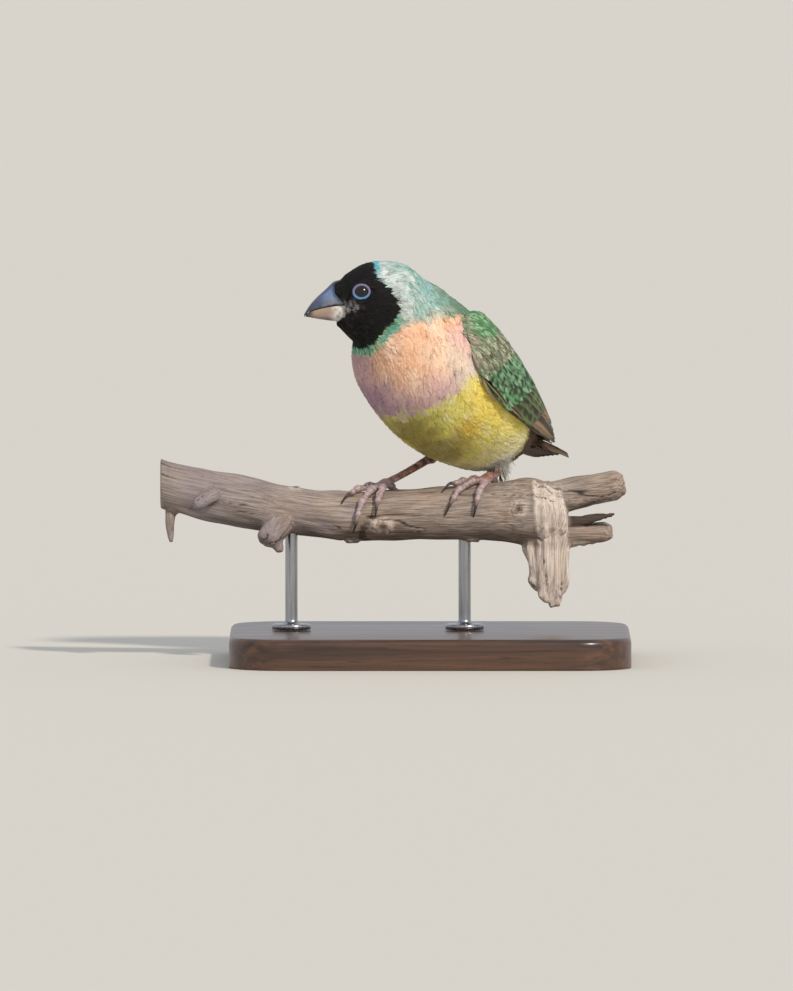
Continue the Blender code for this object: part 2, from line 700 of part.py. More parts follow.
def build_tail(home, look):
    """The closed tail: a cone of coverts at its root, and twelve feathers that lie over one another."""
    rings = []
    for station in even_steps(TAIL_COVERTS[0][0], TAIL_COVERTS[-1][0], TAIL_RINGS):
        width, top, bottom = along(TAIL_COVERTS, station)
        ring = []
        for i in range(TAIL_SIDES):
            turn = 2 * math.pi * i / TAIL_SIDES
            height = top if math.sin(turn) > 0 else bottom
            ring.append(tail_place(station, width * math.cos(turn), height * math.sin(turn)))
        rings.append(ring)
    tail = loft("tail", rings, home, look)
    vanes = collection("tail_vanes", hidden=True)
    for i in range(TAIL_FEATHERS):
        for side in (1, -1):
            tail_vane(i, side, vanes)
    return boolean(tail, vanes, "UNION")


def toe_line(route, count):
    """Points of X and angle on a smooth curve through a toe's route."""
    rows = [(i, *row) for i, row in enumerate(route)]
    return [tuple(along(rows, step)) for step in even_steps(0, len(route) - 1, count)]


def toe_tube(name, route, home):
    line = toe_line(route, 7)
    radii = []
    for i in range(len(line)):
        t = i / (len(line) - 1)
        knuckle = 1 + 0.09 * math.cos(6 * math.pi * t)
        radii.append((TOE_RADIUS + (TOE_TIP_RADIUS - TOE_RADIUS) * t) * knuckle)
    points = [perch_point(x, angle, radius + TOE_LIFT) for (x, angle), radius in zip(line, radii)]
    return tube(name, points, radii, home, 6)


def claw(name, route, length, home, look):
    """A claw that leaves the end of its toe, arches and comes back to the bark."""
    (before_x, before_angle), (x, angle) = toe_line(route, 9)[-2:]
    reach = along(PERCH_AXIS, x)[1] + TOE_TIP_RADIUS + TOE_LIFT
    step = Vector((x - before_x, math.radians(angle - before_angle) * reach)).normalized()
    points, radii = [], []
    for i in range(6):
        t = i / 5
        radius = CLAW_RADIUS + (CLAW_TIP_RADIUS - CLAW_RADIUS) * t
        run = TOE_TIP_RADIUS * 0.4 + GAP + length * t
        arch = CLAW_ARCH * math.sin(math.pi * min(1, t * 1.1))
        lift = TOE_LIFT + TOE_TIP_RADIUS * (1 - t) + radius * t + arch
        points.append(perch_point(x + step.x * run, angle + math.degrees(step.y * run / reach), lift))
        radii.append(radius)
    return tube(name, points, radii, home, 6, look)


def build_leg(word, leg, torso, model, helpers):
    """A thigh cut to the belly's surface, the bare shank, and a foot of four toes with their claws."""
    feathers = material("belly_yellow", BELLY_YELLOW, 0.7)
    skin = material("leg_pink", LEG_PINK, 0.5)
    horn = material("claw_horn", CLAW_HORN, 0.4)
    root, hock = (raised(point) for point in leg["thigh"])
    pad_radius = TOE_RADIUS * 1.3
    pad = perch_point(leg["foot"], 90.0, pad_radius + TOE_LIFT)
    down = (pad - hock).normalized()
    steps = even_steps(0, 1, 7)
    line = [root.lerp(hock, 1.1 * t) for t in steps]
    radii = [THIGH_RADII[1] + (THIGH_RADII[0] - THIGH_RADII[1]) * (1 - t) ** 1.4 for t in steps]
    whole = tube("thigh_form", line, radii, helpers, 12)
    thigh = cut_by_planes("thigh_" + word, whole, [(hock, down)], model, feathers)
    drop([whole])
    boolean(thigh, grown_copy(torso, GAP, helpers), "DIFFERENCE")
    start, end = hock + down * GAP / 2, pad - down * (pad_radius + 0.9)
    girths = [TARSUS_RADIUS + (HOCK_RADIUS - TARSUS_RADIUS) * (1 - t) ** 3 for t in steps]
    tube("tarsus_" + word, [start.lerp(end, t) for t in steps], girths, model, 8, skin)
    foot = sphere("foot_" + word, pad, pad_radius, model, 10, 6, skin)
    toes = collection("toes_" + word, hidden=True)
    tube("ankle", [end + down * GAP, pad], [TARSUS_RADIUS, TARSUS_RADIUS * 1.1], toes)
    for toe, length in CLAW_LENGTHS.items():
        toe_tube("toe_" + toe, leg[toe], toes)
        claw(f"claw_{word}_{toe}", leg[toe], length, model, horn)
    return boolean(foot, toes, "UNION")


def build_perch(model, helpers):
    """The cut length of branch with its knots and broken twigs, bored from below for the rods."""
    rings = []
    for x in even_steps(PERCH_AXIS[0][0], PERCH_AXIS[-1][0], PERCH_RINGS):
        rings.append([perch_point(x, 360 * i / PERCH_SIDES) for i in range(PERCH_SIDES)])
    perch = loft("perch", rings, model, material("wood_grey", WOOD_GREY, 0.8))
    twigs = collection("twigs", hidden=True)
    for name, (points, radii, deep) in TWIGS.items():
        tube(name, [raised(point) for point in points], radii, twigs, 10, deep=deep)
    for x, angle, radius in KNOTS:
        sphere("knot", perch_point(x, angle, -radius * 0.45), radius, twigs, 10, 6)
    boolean(perch, twigs, "UNION")
    for x in ROD_STATIONS.values():
        mouth = perch_point(x, -90.0, 2.0)
        roof = perch_point(x, -90.0, -ROD_SOCKET - GAP)
        radius = ROD_RADIUS + GAP
        boolean(perch, tube("rod_hole", [mouth, roof], [radius, radius], helpers, 20), "DIFFERENCE")
    return perch


def rounded_base(home, look):
    """The plate of the stand: a rectangle with round corners and a softened upper edge."""
    rings = []
    shoulder, crest = BASE_HEIGHT - BASE_EDGE, BASE_HEIGHT - BASE_EDGE * 0.3
    for height, inset in ((0.0, 0.0), (shoulder, 0.0), (crest, BASE_EDGE * 0.3), (BASE_HEIGHT, BASE_EDGE)):
        ring = []
        for corner in range(4):
            sign_x, sign_y = ((1, 1), (-1, 1), (-1, -1), (1, -1))[corner]
            for step in range(6):
                turn = math.radians(90 * corner + 90 * step / 5)
                x = sign_x * (BASE_LENGTH / 2 - BASE_CORNER) + (BASE_CORNER - inset) * math.cos(turn)
                y = sign_y * (BASE_DEPTH / 2 - BASE_CORNER) + (BASE_CORNER - inset) * math.sin(turn)
                ring.append((x, y, height))
        rings.append(ring)
    return loft("stand_base", rings, home, look)


def stand_rod(name, x, home, look):
    """A turned rod with a small foot, from just over the plate to just under its hole's roof."""
    low = BASE_HEIGHT + GAP
    high = perch_point(x, -90.0, -ROD_SOCKET).z
    profile = [
        (0.0, high),
        (ROD_RADIUS - 0.3, high),
        (ROD_RADIUS, high - 0.3),
        (ROD_RADIUS, low + ROD_FOOT_HEIGHT + 1.2),
        (ROD_RADIUS + 0.9, low + ROD_FOOT_HEIGHT + 0.2),
        (ROD_FOOT_RADIUS - 0.5, low + ROD_FOOT_HEIGHT),
        (ROD_FOOT_RADIUS, low + ROD_FOOT_HEIGHT - 0.5),
        (ROD_FOOT_RADIUS, low),
        (0.0, low),
    ]
    shape = bmesh.new()
    verts = [shape.verts.new(Vector((radius, 0.0, z)) * MM) for radius, z in profile]
    for one, other in zip(verts, verts[1:]):
        shape.edges.new((one, other))
    mesh = bpy.data.meshes.new(name)
    shape.to_mesh(mesh)
    shape.free()
    rod = add_object(name, mesh, home, look)
    rod.location = (x * MM, 0.0, 0.0)
    turned = rod.modifiers.new("turned", "SCREW")
    turned.steps = turned.render_steps = 16
    turned.use_merge_vertices, turned.merge_threshold = True, 1e-5
    return rod


def main():
    clear_scene()
    model = collection("gouldian_finch")
    helpers = collection("cutters", hidden=True)
    build_head(model, helpers)
    body = body_form(TORSO_SHARE, helpers)
    neck_planes = [placed_plane(HEAD_FRAME, HEAD_CUT, True), placed_plane(BODY_FRAME, NECK_CUT, True)]
    cut_by_planes("neck", body, neck_planes, model, material("nape_green", NAPE_GREEN, 0.7))
    torso_planes = [placed_plane(BODY_FRAME, NECK_CUT), placed_plane(BODY_FRAME, TAIL_CUT)]
    torso = cut_by_planes("torso", body, torso_planes, model, material("breast_lilac", BREAST_LILAC, 0.7))
    drop([body])
    green = material("wing_green", WING_GREEN, 0.6)
    build_wing("wing_left", 1, model, helpers, green)
    build_wing("wing_right", -1, model, helpers, green)
    build_tail(model, material("tail_brown", TAIL_BROWN, 0.6))
    for word, leg in LEGS.items():
        build_leg(word, leg, torso, model, helpers)
    build_perch(model, helpers)
    rounded_base(model, material("base_wood", BASE_WOOD, 0.35))
    steel = material("rod_steel", ROD_STEEL, 0.3, 1.0)
    for name, x in ROD_STATIONS.items():
        stand_rod(name, x, model, steel)


main()
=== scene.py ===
"""The looks of a Gouldian finch on a cut length of branch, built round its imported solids.

Lengths are in millimetres and become metres where a mesh is made. The body, the head and the neck
have frames of their own: a runs forward, b to the bird's left and c towards its back or crown.
"""

import math

import bmesh
import bpy
import numpy as np
from mathutils import Matrix, Vector
from mathutils.bvhtree import BVHTree
from mathutils.kdtree import KDTree


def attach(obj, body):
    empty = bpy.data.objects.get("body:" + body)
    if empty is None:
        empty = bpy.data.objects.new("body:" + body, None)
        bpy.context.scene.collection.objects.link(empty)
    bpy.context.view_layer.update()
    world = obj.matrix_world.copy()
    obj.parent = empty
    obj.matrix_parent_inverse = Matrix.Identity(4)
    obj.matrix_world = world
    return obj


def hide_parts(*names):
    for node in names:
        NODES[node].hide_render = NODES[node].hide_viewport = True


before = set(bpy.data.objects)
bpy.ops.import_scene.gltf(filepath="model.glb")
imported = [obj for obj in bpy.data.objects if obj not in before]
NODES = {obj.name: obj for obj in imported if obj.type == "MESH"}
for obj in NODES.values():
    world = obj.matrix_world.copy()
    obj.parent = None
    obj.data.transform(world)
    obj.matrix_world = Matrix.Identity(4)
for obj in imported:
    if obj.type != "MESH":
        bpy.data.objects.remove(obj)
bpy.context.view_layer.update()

MM = 0.001

# The stance, as in the solids
PERCH_HEIGHT = 38.0
BODY_STANCE = ((3.2, -6.5, PERCH_HEIGHT + 35.6), 235.0, 28.0)
HEAD_STANCE = ((-16.3, -20.5, PERCH_HEIGHT + 57.5), 183.0, 0.0)
NECK_STANCE = ((-5.2, -14.6, PERCH_HEIGHT + 50.6), 210.0, 24.0)

# The head's egg, for the eyes: station a, half width, height above and below the mid line, its c
HEAD_EGG = [
    (-4.0, 9.9, 10.1, 13.0, -0.4),
    (0.0, 9.1, 9.5, 12.7, -0.4),
    (3.0, 7.9, 8.5, 11.5, -0.4),
    (6.0, 6.1, 6.8, 9.0, -0.4),
]
EYE_PLACE, EYE_RADIUS, EYE_DEPTH = (1.55, 1.6), 2.1, 1.35
LID_HALF_LENGTH, LID_HALF_HEIGHT, LID_GIRTH = 2.06, 1.74, 0.34
LID_FACING = (0.25, 1.0, 0.12)
PUPIL_RADIUS, IRIS_RADIUS = 1.0, 1.62

# Bill sections in the head frame: station a, half width, and the c of its upper and lower lines
BILL_UPPER = [
    (6.4, 3.8, 4.6, -1.75),
    (8.8, 3.6, 3.9, -1.95),
    (10.7, 3.1, 2.1, -2.35),
    (12.8, 2.4, 0.2, -2.85),
    (14.4, 1.6, -1.5, -3.4),
    (15.6, 0.9, -3.2, -4.1),
    (16.3, 0.4, -4.4, -5.1),
]
BILL_LOWER = [
    (5.8, 3.6, -2.1, -6.6),
    (8.0, 3.4, -2.25, -6.3),
    (10.7, 2.8, -2.6, -5.9),
    (12.8, 2.1, -3.1, -5.6),
    (14.4, 1.35, -3.65, -5.3),
    (15.4, 0.7, -4.15, -5.1),
    (15.9, 0.35, -4.5, -5.1),
]
MOUTH_ARCH = 0.08
NOSTRIL_PLACE, NOSTRIL_RADIUS, NOSTRIL_DEPTH = (9.0, 2.6, 2.2), 0.75, 0.4

# A folded wing's bed over the torso: station a, half width, height above and below its mid line, its c
WING_BED = [
    (-46.0, 6.6, 4.8, 4.0, 4.4),
    (-36.0, 9.8, 6.0, 9.0, 3.2),
    (-27.0, 13.8, 8.0, 16.0, 1.8),
    (-18.0, 16.7, 11.6, 19.0, 0.8),
    (-8.0, 18.4, 15.0, 20.8, 0.2),
    (2.0, 19.1, 17.6, 20.0, 0.0),
    (11.0, 18.9, 18.5, 18.0, 0.0),
    (19.0, 17.1, 17.8, 15.0, 0.0),
]
# Its core: station a, lowest and highest angle round the bed (0 at the side, 90 on the back), thickness
WING_EDGES = [
    (-43.0, -12.0, 20.0, 0.6),
    (-38.0, -13.0, 50.0, 0.8),
    (-30.0, -14.0, 76.0, 0.8),
    (-16.0, -14.0, 77.0, 0.8),
    (-4.0, -15.0, 68.0, 0.9),
    (5.0, -15.0, 58.0, 1.0),
    (11.0, -6.0, 50.0, 1.1),
    (15.0, 6.0, 42.0, 1.0),
    (17.5, 16.0, 34.0, 0.8),
]
LEAN_START, LEAN_END, LEAN = -28.0, -46.0, -1.5
CORE_EDGE = 0.55
# Tiers of its feathers: rows and count, station and angle of the lowest and highest root of the first
# row and of their tips, half a feather's width, how far the lowest and highest one's tip stands out
# of the core, the step to the next row back, and how deep the roots lie
WING_TIERS = {
    "primary": (1, 8, (-6.0, -7.0), (-14.0, 16.0), (-46.2, -2.0), (-34.5, 42.0), 1.8, (0.2, 0.5), (0, 0), 0.3),
    "secondary": (1, 8, (-1.0, -6.0), (-6.0, 34.0), (-22.0, -6.0), (-33.0, 42.0), 2.2, (0.4, 0.55), (0, 0), 0.3),
    "tertial": (1, 3, (-5.0, 42.0), (-2.0, 62.0), (-35.0, 54.0), (-26.0, 70.0), 3.0, (0.55, 0.7), (0, 0), 0.3),
    "greater_covert": (1, 15, (5.5, -8.0), (-12.0, 50.0), (-8.0, -11.0), (-24.0, 57.0), 1.5, (0.6, 0.75), (0, 0), 0.3),
    "median_covert": (3, 15, (11.0, -2.0), (-6.0, 50.0), (3.0, -9.0), (-14.5, 56.0), 1.3, (0.75, 0.9), (-2.7, -0.5), 0.3),
    "scapular": (3, 6, (10.0, 50.0), (6.0, 66.0), (-1.0, 53.0), (-6.0, 70.0), 1.7, (0.85, 0.9), (-4.5, 1.0), 1.3),
    "alula": (1, 2, (8.0, -9.0), (2.0, -10.5), (-3.5, -13.5), (-13.0, -13.0), 0.6, (0.8, 0.7), (0, 0), 0.3),
}
# The small coverts at the front of the wing: their rearmost station at angle 0 and its change with each
# degree, where they start, how far they stand out of the core and how far they reach round its edges, a degree round the wing as a length,
# and their kinds: spacing, length, half width and widths along them
SHOULDER_REAR, SHOULDER_SLOPE = 8.0, -0.42
SHOULDER_END, SHOULDER_FRONT, SHOULDER_DEPTH, SHOULDER_WRAP, DEGREE = -16.0, 18.2, 0.75, 0.5, 0.32
SHOULDER_LAYERS = {
    "vane": (0.62, 3.6, 0.5, (0.5, 1.0, 0.85, 0.1)),
    "strand": (0.36, 2.8, 0.17, (0.9, 1.0, 0.08)),
}
VANE_STEPS, VANE_COLUMNS = 18, 9
VANE_TILT, VANE_WAVER = 0.2, 0.7
# How blunt each tier's tips are, and its colours along the shaft, over the web and at the rim, with
# how strong the rim's is
TIER_BLUNTNESS = {
    "primary": 4.0,
    "secondary": 7.0,
    "tertial": 6.0,
    "greater_covert": 4.0,
    "median_covert": 3.5,
    "scapular": 3.0,
    "alula": 3.0,
}
TIER_HUES = {
    "primary": ("wing_dark", "quill_brown", "quill_buff", 0.9),
    "secondary": ("wing_dark", "wing_umber", "tertial_edge", 1.0),
    "tertial": ("wing_dark", "quill_brown", "tertial_edge", 0.9),
    "greater_covert": ("wing_dark", "wing_green", "wing_green", 0.5),
    "median_covert": ("wing_dark", "wing_green", "wing_mint", 0.6),
    "scapular": ("wing_dark", "wing_grey", "wing_green", 0.9),
    "alula": ("wing_dark", "quill_brown", "quill_buff", 0.9),
}

# The tail's middle line and the cone of coverts at its root, in the body frame
TAIL_LINE = [
    (-66.0, -3.8, 9.6),
    (-59.0, -3.2, 8.2),
    (-52.0, -2.4, 6.6),
    (-44.0, -1.4, 4.6),
    (-38.0, -0.6, 3.2),
    (-33.3, 0.0, 2.5),
]
TAIL_COVERTS = [
    (-50.0, 2.6, 0.5, 1.6),
    (-44.0, 4.6, 1.4, 3.4),
    (-38.0, 6.6, 3.4, 6.4),
    (-33.3, 9.2, 4.4, 10.2),
]
TAIL_FEATHERS, TAIL_ROOT, TAIL_TIP, TAIL_TIP_STEP = 6, -38.0, -64.6, 0.9
TAIL_START, TAIL_STEP, TAIL_DROP, TAIL_ROOF = 0.7, 0.62, 0.4, (0.1, 0.06)
TAIL_HALF_WIDTH = 2.3
# Its upper coverts: station of the root and of the tip, and how far each lies beside and over the line
TAIL_COVERT_VANES = [
    (-29.0, -52.0, 1.2, 2.6),
    (-28.0, -49.5, 3.0, 2.9),
    (-27.0, -46.5, 4.8, 3.0),
    (-26.0, -42.5, 6.4, 2.6),
    (-28.0, -46.5, 6.6, 0.4),
]

# The branch: X, height above PERCH_HEIGHT and radius, and its broken twigs: the points of each one's
# middle line, its radius at each and how deep it is for its width
PERCH_AXIS = [
    (-70.0, 8.2, 6.5),
    (-59.0, 5.4, 6.6),
    (-46.0, 3.0, 6.7),
    (-34.0, 0.9, 6.2),
    (-21.0, -0.3, 6.4),
    (-8.0, 0.1, 6.6),
    (5.0, 0.4, 7.0),
    (18.0, 0.8, 7.6),
    (28.0, 0.6, 8.4),
    (34.5, -0.4, 6.6),
]
TWIGS = {
    "upper_fork": (
        [(26.0, 0.0, 3.4), (36.0, 0.4, 5.4), (44.0, 0.6, 6.9), (50.4, 0.8, 8.0)],
        [4.4, 4.3, 4.0, 3.7],
        1.0,
    ),
    "lower_fork": (
        [(31.0, 0.0, -4.6), (37.0, -0.6, -5.0), (42.0, -1.0, -4.8), (47.2, -1.4, -4.2)],
        [3.6, 3.1, 2.7, 2.4],
        1.0,
    ),
    "broken_end": (
        [(30.0, -1.5, 2.0), (30.2, -2.0, -5.0), (30.6, -2.4, -11.7), (31.7, -2.8, -19.0), (32.4, -3.0, -23.6)],
        [5.6, 6.2, 5.8, 4.2, 1.8],
        0.6,
    ),
    "sliver": ([(31.0, -2.6, -1.4), (38.0, -3.4, -1.5), (43.0, -3.6, -0.6), (48.0, -3.4, 0.4)], [1.5, 1.2, 0.9, 0.5], 0.6),
    "old_stub": ([(-54.0, -3.0, 5.6), (-57.6, -7.4, 4.6), (-61.0, -11.0, 3.0)], [2.6, 2.1, 1.5], 1.0),
    "knob": ([(-37.0, -2.0, 0.0), (-40.2, -5.4, -3.4), (-42.6, -8.4, -6.6)], [3.6, 3.5, 2.9], 1.0),
    "knob_nub": ([(-40.4, -6.0, -4.0), (-38.9, -7.4, -9.4)], [1.8, 1.2], 1.0),
    "spur": ([(-67.0, -1.0, 2.4), (-67.4, -1.4, -2.6), (-67.2, -1.6, -7.0)], [1.7, 1.2, 0.7], 1.0),
}
KNOTS = [(-12.2, -25.0, 2.5), (-20.3, -84.0, 2.1), (10.9, -80.0, 2.1), (-35.0, 78.0, 1.6), (23.0, 8.0, 1.9)]

# Each leg, with heights above PERCH_HEIGHT: the hock, the X of the foot on the branch, and each toe's
# route as rows of X and angle round the branch
LEGS = {
    "left": {
        "hock": (17.7, 2.9, 11.3),
        "foot": 15.4,
        "inner": [(14.8, 92.0), (11.4, 92.0), (8.4, 84.0), (6.4, 73.0)],
        "middle": [(14.8, 88.0), (10.8, 72.0), (7.6, 50.0), (6.0, 30.0)],
        "outer": [(15.2, 85.0), (13.9, 62.0), (12.8, 42.0), (12.2, 24.0)],
        "hind": [(15.7, 95.0), (16.5, 114.0), (17.1, 134.0), (17.4, 148.0)],
    },
    "right": {
        "hock": (-0.3, 5.2, 14.4),
        "foot": -11.7,
        "inner": [(-11.6, 87.0), (-12.4, 66.0), (-13.2, 46.0), (-13.6, 30.0)],
        "middle": [(-12.1, 88.0), (-15.2, 62.0), (-17.6, 32.0), (-18.8, 2.0)],
        "outer": [(-12.2, 91.0), (-15.8, 84.0), (-18.8, 70.0), (-20.4, 56.0)],
        "hind": [(-11.2, 94.0), (-10.0, 114.0), (-9.0, 134.0), (-8.6, 148.0)],
    },
}
HOCK_RADIUS, TARSUS_RADIUS = 1.2, 0.92
TOE_RADIUS, TOE_TIP_RADIUS, TOE_LIFT = 1.05, 0.74, 0.35
CLAW_LENGTHS = {"inner": 3.8, "middle": 4.4, "outer": 3.8, "hind": 5.0}
CLAW_RADIUS, CLAW_TIP_RADIUS, CLAW_ARCH = 0.6, 0.14, 0.8

# The stand
GAP = 0.3
BASE_LENGTH, BASE_DEPTH, BASE_HEIGHT = 104.0, 84.0, 8.0
BASE_CORNER, BASE_EDGE = 14.0, 1.6
ROD_RADIUS, ROD_FOOT_RADIUS, ROD_FOOT_HEIGHT, ROD_SOCKET = 1.6, 5.0, 1.4, 3.0
ROD_STATIONS = {"stand_rod_left": -36.0, "stand_rod_right": 9.0}

# The coat: how deep it is over the body and the face, and its kinds of feather: spacing, length and
# half width on the body, the share of those that the smallest face feathers have, and the widths of
# one along its length
FLESH = ("head", "neck", "torso", "thigh_left", "thigh_right")
SEAM_GROWTH, SKIN_VOXEL, SKIN_SMOOTHING = 0.25, 0.5, 10
COAT_DEPTH, FACE_DEPTH = 0.95, 0.5
FACE_TAPER, GAPE_STATION, FOREHEAD_STATION, CHIN_REACH, FOREHEAD_DROP = 0.3, 5.2, 8.7, 3.0, 0.6
COLLAR_GROWTH = 1.05
# Forms under the chin: station a, c and radius
CHIN = [(3.4, -6.9, 3.3), (5.6, -6.4, 2.5), (7.2, -6.0, 1.8)]
COAT_LAYERS = {
    "vane": (0.74, 3.8, 0.72, 0.42, (0.6, 1.0, 0.8, 0.06)),
    "strand": (0.295, 3.2, 0.14, 0.42, (0.9, 1.0, 0.08)),
}
CLUMP_SPACING, CLUMP_PULL = 1.3, 0.24
DOWN_COUNT, DOWN_LENGTH, DOWN_HALF_WIDTH = 420, 4.2, 0.2

# The floor and the light
FLOOR_REACH = 30000.0
SUN_DIRECTION, SUN_WIDTH, SUN_STRENGTH = (0.46, -0.72, 0.62), 4.0, 2.45
SUN_COLOUR, SKY_COLOUR, SKY_STRENGTH = (1.0, 0.93, 0.84), (0.88, 0.93, 1.0), 0.72

# The edge of the black mask, and of the breast below the neck, as points of a and c seen from the side
MASK_EDGE = [
    (-1.6, 12.0),
    (-1.6, 8.6),
    (-1.9, 6.4),
    (-2.9, 4.6),
    (-5.0, 3.4),
    (-6.6, 1.2),
    (-8.1, -1.2),
    (-7.6, -4.3),
    (-6.1, -6.4),
    (-3.9, -8.7),
    (-2.0, -10.9),
    (0.3, -13.3),
    (2.6, -13.0),
    (9.0, -12.0),
]
BREAST_TOP = [
    (13.0, -13.4),
    (10.6, -12.7),
    (9.9, -10.6),
    (9.2, -7.4),
    (8.0, -4.3),
    (5.8, -2.3),
    (2.6, -0.3),
    (-0.6, 2.0),
    (-5.0, 4.4),
    (-12.0, 7.5),
]

# Colours as they show on a screen, from 0 to 1
HUES = {
    "mask": (0.05, 0.044, 0.044),
    "mask_fleck": (0.20, 0.17, 0.15),
    "lore": (0.56, 0.53, 0.53),
    "collar_blue": (0.36, 0.68, 0.74),
    "collar_green": (0.34, 0.60, 0.51),
    "collar_pale": (0.72, 0.76, 0.56),
    "nape_pale": (0.75, 0.78, 0.76),
    "nape_mint": (0.61, 0.72, 0.68),
    "nape_turquoise": (0.44, 0.66, 0.61),
    "nape_blue": (0.44, 0.60, 0.66),
    "nape_beige": (0.74, 0.69, 0.60),
    "mantle": (0.40, 0.50, 0.42),
    "back_green": (0.27, 0.48, 0.29),
    "rump": (0.44, 0.66, 0.66),
    "peach": (0.95, 0.75, 0.61),
    "peach_light": (0.97, 0.81, 0.69),
    "peach_dark": (0.84, 0.64, 0.49),
    "lilac": (0.64, 0.52, 0.60),
    "lilac_pink": (0.84, 0.69, 0.69),
    "breast_pale": (0.86, 0.80, 0.72),
    "yellow": (0.88, 0.83, 0.44),
    "yellow_bright": (0.93, 0.83, 0.38),
    "yellow_orange": (0.86, 0.68, 0.24),
    # olive, darkened as painted shade for the underside of the belly
    "yellow_olive_and_shade": (0.55, 0.49, 0.26),
    "yellow_pale": (0.88, 0.85, 0.63),
    "cream": (0.93, 0.89, 0.70),
    "vent_white": (0.97, 0.96, 0.90),
    "wing_grey": (0.47, 0.49, 0.40),
    "wing_pale": (0.68, 0.71, 0.59),
    "wing_green": (0.30, 0.50, 0.31),
    "wing_mint": (0.55, 0.70, 0.55),
    "wing_dark": (0.17, 0.18, 0.12),
    "wing_umber": (0.36, 0.34, 0.26),
    "quill_brown": (0.25, 0.18, 0.10),
    "quill_buff": (0.72, 0.60, 0.45),
    "tertial_edge": (0.47, 0.56, 0.33),
    "tail_brown": (0.32, 0.22, 0.13),
    "tail_dark": (0.13, 0.095, 0.07),
    "bill_slate": (0.26, 0.28, 0.37),
    "bill_blue": (0.42, 0.50, 0.66),
    "bill_tip": (0.22, 0.20, 0.22),
    "bill_pink": (0.66, 0.56, 0.52),
    "bill_grey": (0.52, 0.55, 0.58),
    "bill_white": (0.86, 0.83, 0.80),
    "bill_straw": (0.66, 0.60, 0.38),
    "lid_blue": (0.34, 0.58, 0.78),
    "lid_lilac": (0.50, 0.46, 0.60),
    "leg_red": (0.58, 0.37, 0.29),
    "leg_grey": (0.69, 0.60, 0.60),
    # dark specks on the legs, and the painted shadow at the top of each shank
    "leg_dark_and_shadow": (0.27, 0.15, 0.11),
    "claw_dark": (0.22, 0.18, 0.17),
    "claw_pale": (0.55, 0.46, 0.42),
}


def linear(colour):
    """Screen colours as the linear ones that a shader takes."""
    screen = np.asarray(colour, float)
    return np.where(screen <= 0.04045, screen / 12.92, ((screen + 0.055) / 1.055) ** 2.4)


HUES = {name: linear(value) for name, value in HUES.items()}
WOOD_DARK = linear((0.40, 0.35, 0.32))
WOOD_MID = linear((0.58, 0.52, 0.47))
WOOD_LIGHT = linear((0.75, 0.69, 0.64))
WOOD_PALE = linear((0.88, 0.82, 0.77))
WOOD_WARM = linear((0.56, 0.45, 0.37))
WOOD_BLUE = linear((0.53, 0.50, 0.53))
# the dark of the cracks and pits, also used for the painted shade underneath the branch
WOOD_CRACK = linear((0.15, 0.115, 0.10))


def stance(place):
    """A place's centre and its three axes as rows, from a centre, a heading and a pitch."""
    centre, heading, pitch = place
    turn, rise = math.radians(heading), math.radians(pitch)
    forward = np.array([math.cos(turn) * math.cos(rise), math.sin(turn) * math.cos(rise), math.sin(rise)])
    left = np.array([-math.sin(turn), math.cos(turn), 0.0])
    return np.array(centre, float), np.array([forward, left, np.cross(forward, left)])


BODY, HEAD, NECK = stance(BODY_STANCE), stance(HEAD_STANCE), stance(NECK_STANCE)


def into(place, points):
    """Model points as (a, b, c) of a place."""
    return (np.asarray(points, float) - place[0]) @ place[1].T


def out_of(place, points):
    """(a, b, c) of a place as model points."""
    return place[0] + np.asarray(points, float) @ place[1]


def unit(vectors):
    return vectors / np.maximum(np.linalg.norm(vectors, axis=-1, keepdims=True), 1e-9)


def smooth_step(value, low, high):
    t = np.clip((value - low) / (high - low), 0.0, 1.0)
    return t * t * (3 - 2 * t)


def mix(one, other, share):
    return one + (other - one) * np.asarray(share)[..., None]


def along(rows, station):
    """The rest of a row, read at one or many stations from a smooth curve through all the rows."""
    table = np.array(rows, float)
    stations, values = table[:, 0], table[:, 1:]
    slopes = np.gradient(values, stations, axis=0)
    station = np.asarray(station, float)
    i = np.clip(np.searchsorted(stations, station) - 1, 0, len(stations) - 2)
    step = stations[i + 1] - stations[i]
    t = ((station - stations[i]) / step)[..., None]
    step = step[..., None]
    return (
        (2 * t**3 - 3 * t**2 + 1) * values[i]
        + (t**3 - 2 * t**2 + t) * step * slopes[i]
        + (3 * t**2 - 2 * t**3) * values[i + 1]
        + (t**3 - t**2) * step * slopes[i + 1]
    )


def mottle(points, size, seed):
    """A smooth random field from about -1 to 1 with lumps of a size in millimetres."""
    draws = np.random.default_rng(seed)
    waves = draws.normal(size=(14, 3)) * 2.4 / size
    phases = draws.uniform(0, 2 * math.pi, 14)
    return np.sin(np.asarray(points) @ waves.T + phases).sum(1) / 3.6


def signed_distance(x, y, line):
    """The distance from a line of points, above zero on the left of its direction."""
    line = np.array(line, float)
    points = np.stack([x, y], -1)
    best, sign = np.full(len(points), 1e9), np.ones(len(points))
    for start, end in zip(line, line[1:]):
        run = end - start
        t = np.clip(((points - start) @ run) / (run @ run), 0.0, 1.0)
        away = points - (start + t[:, None] * run)
        distance = np.linalg.norm(away, axis=1)
        nearer = distance < best
        best = np.where(nearer, distance, best)
        sign = np.where(nearer, np.sign(run[0] * away[:, 1] - run[1] * away[:, 0]), sign)
    return best * np.where(sign == 0, 1.0, sign)


# Meshes


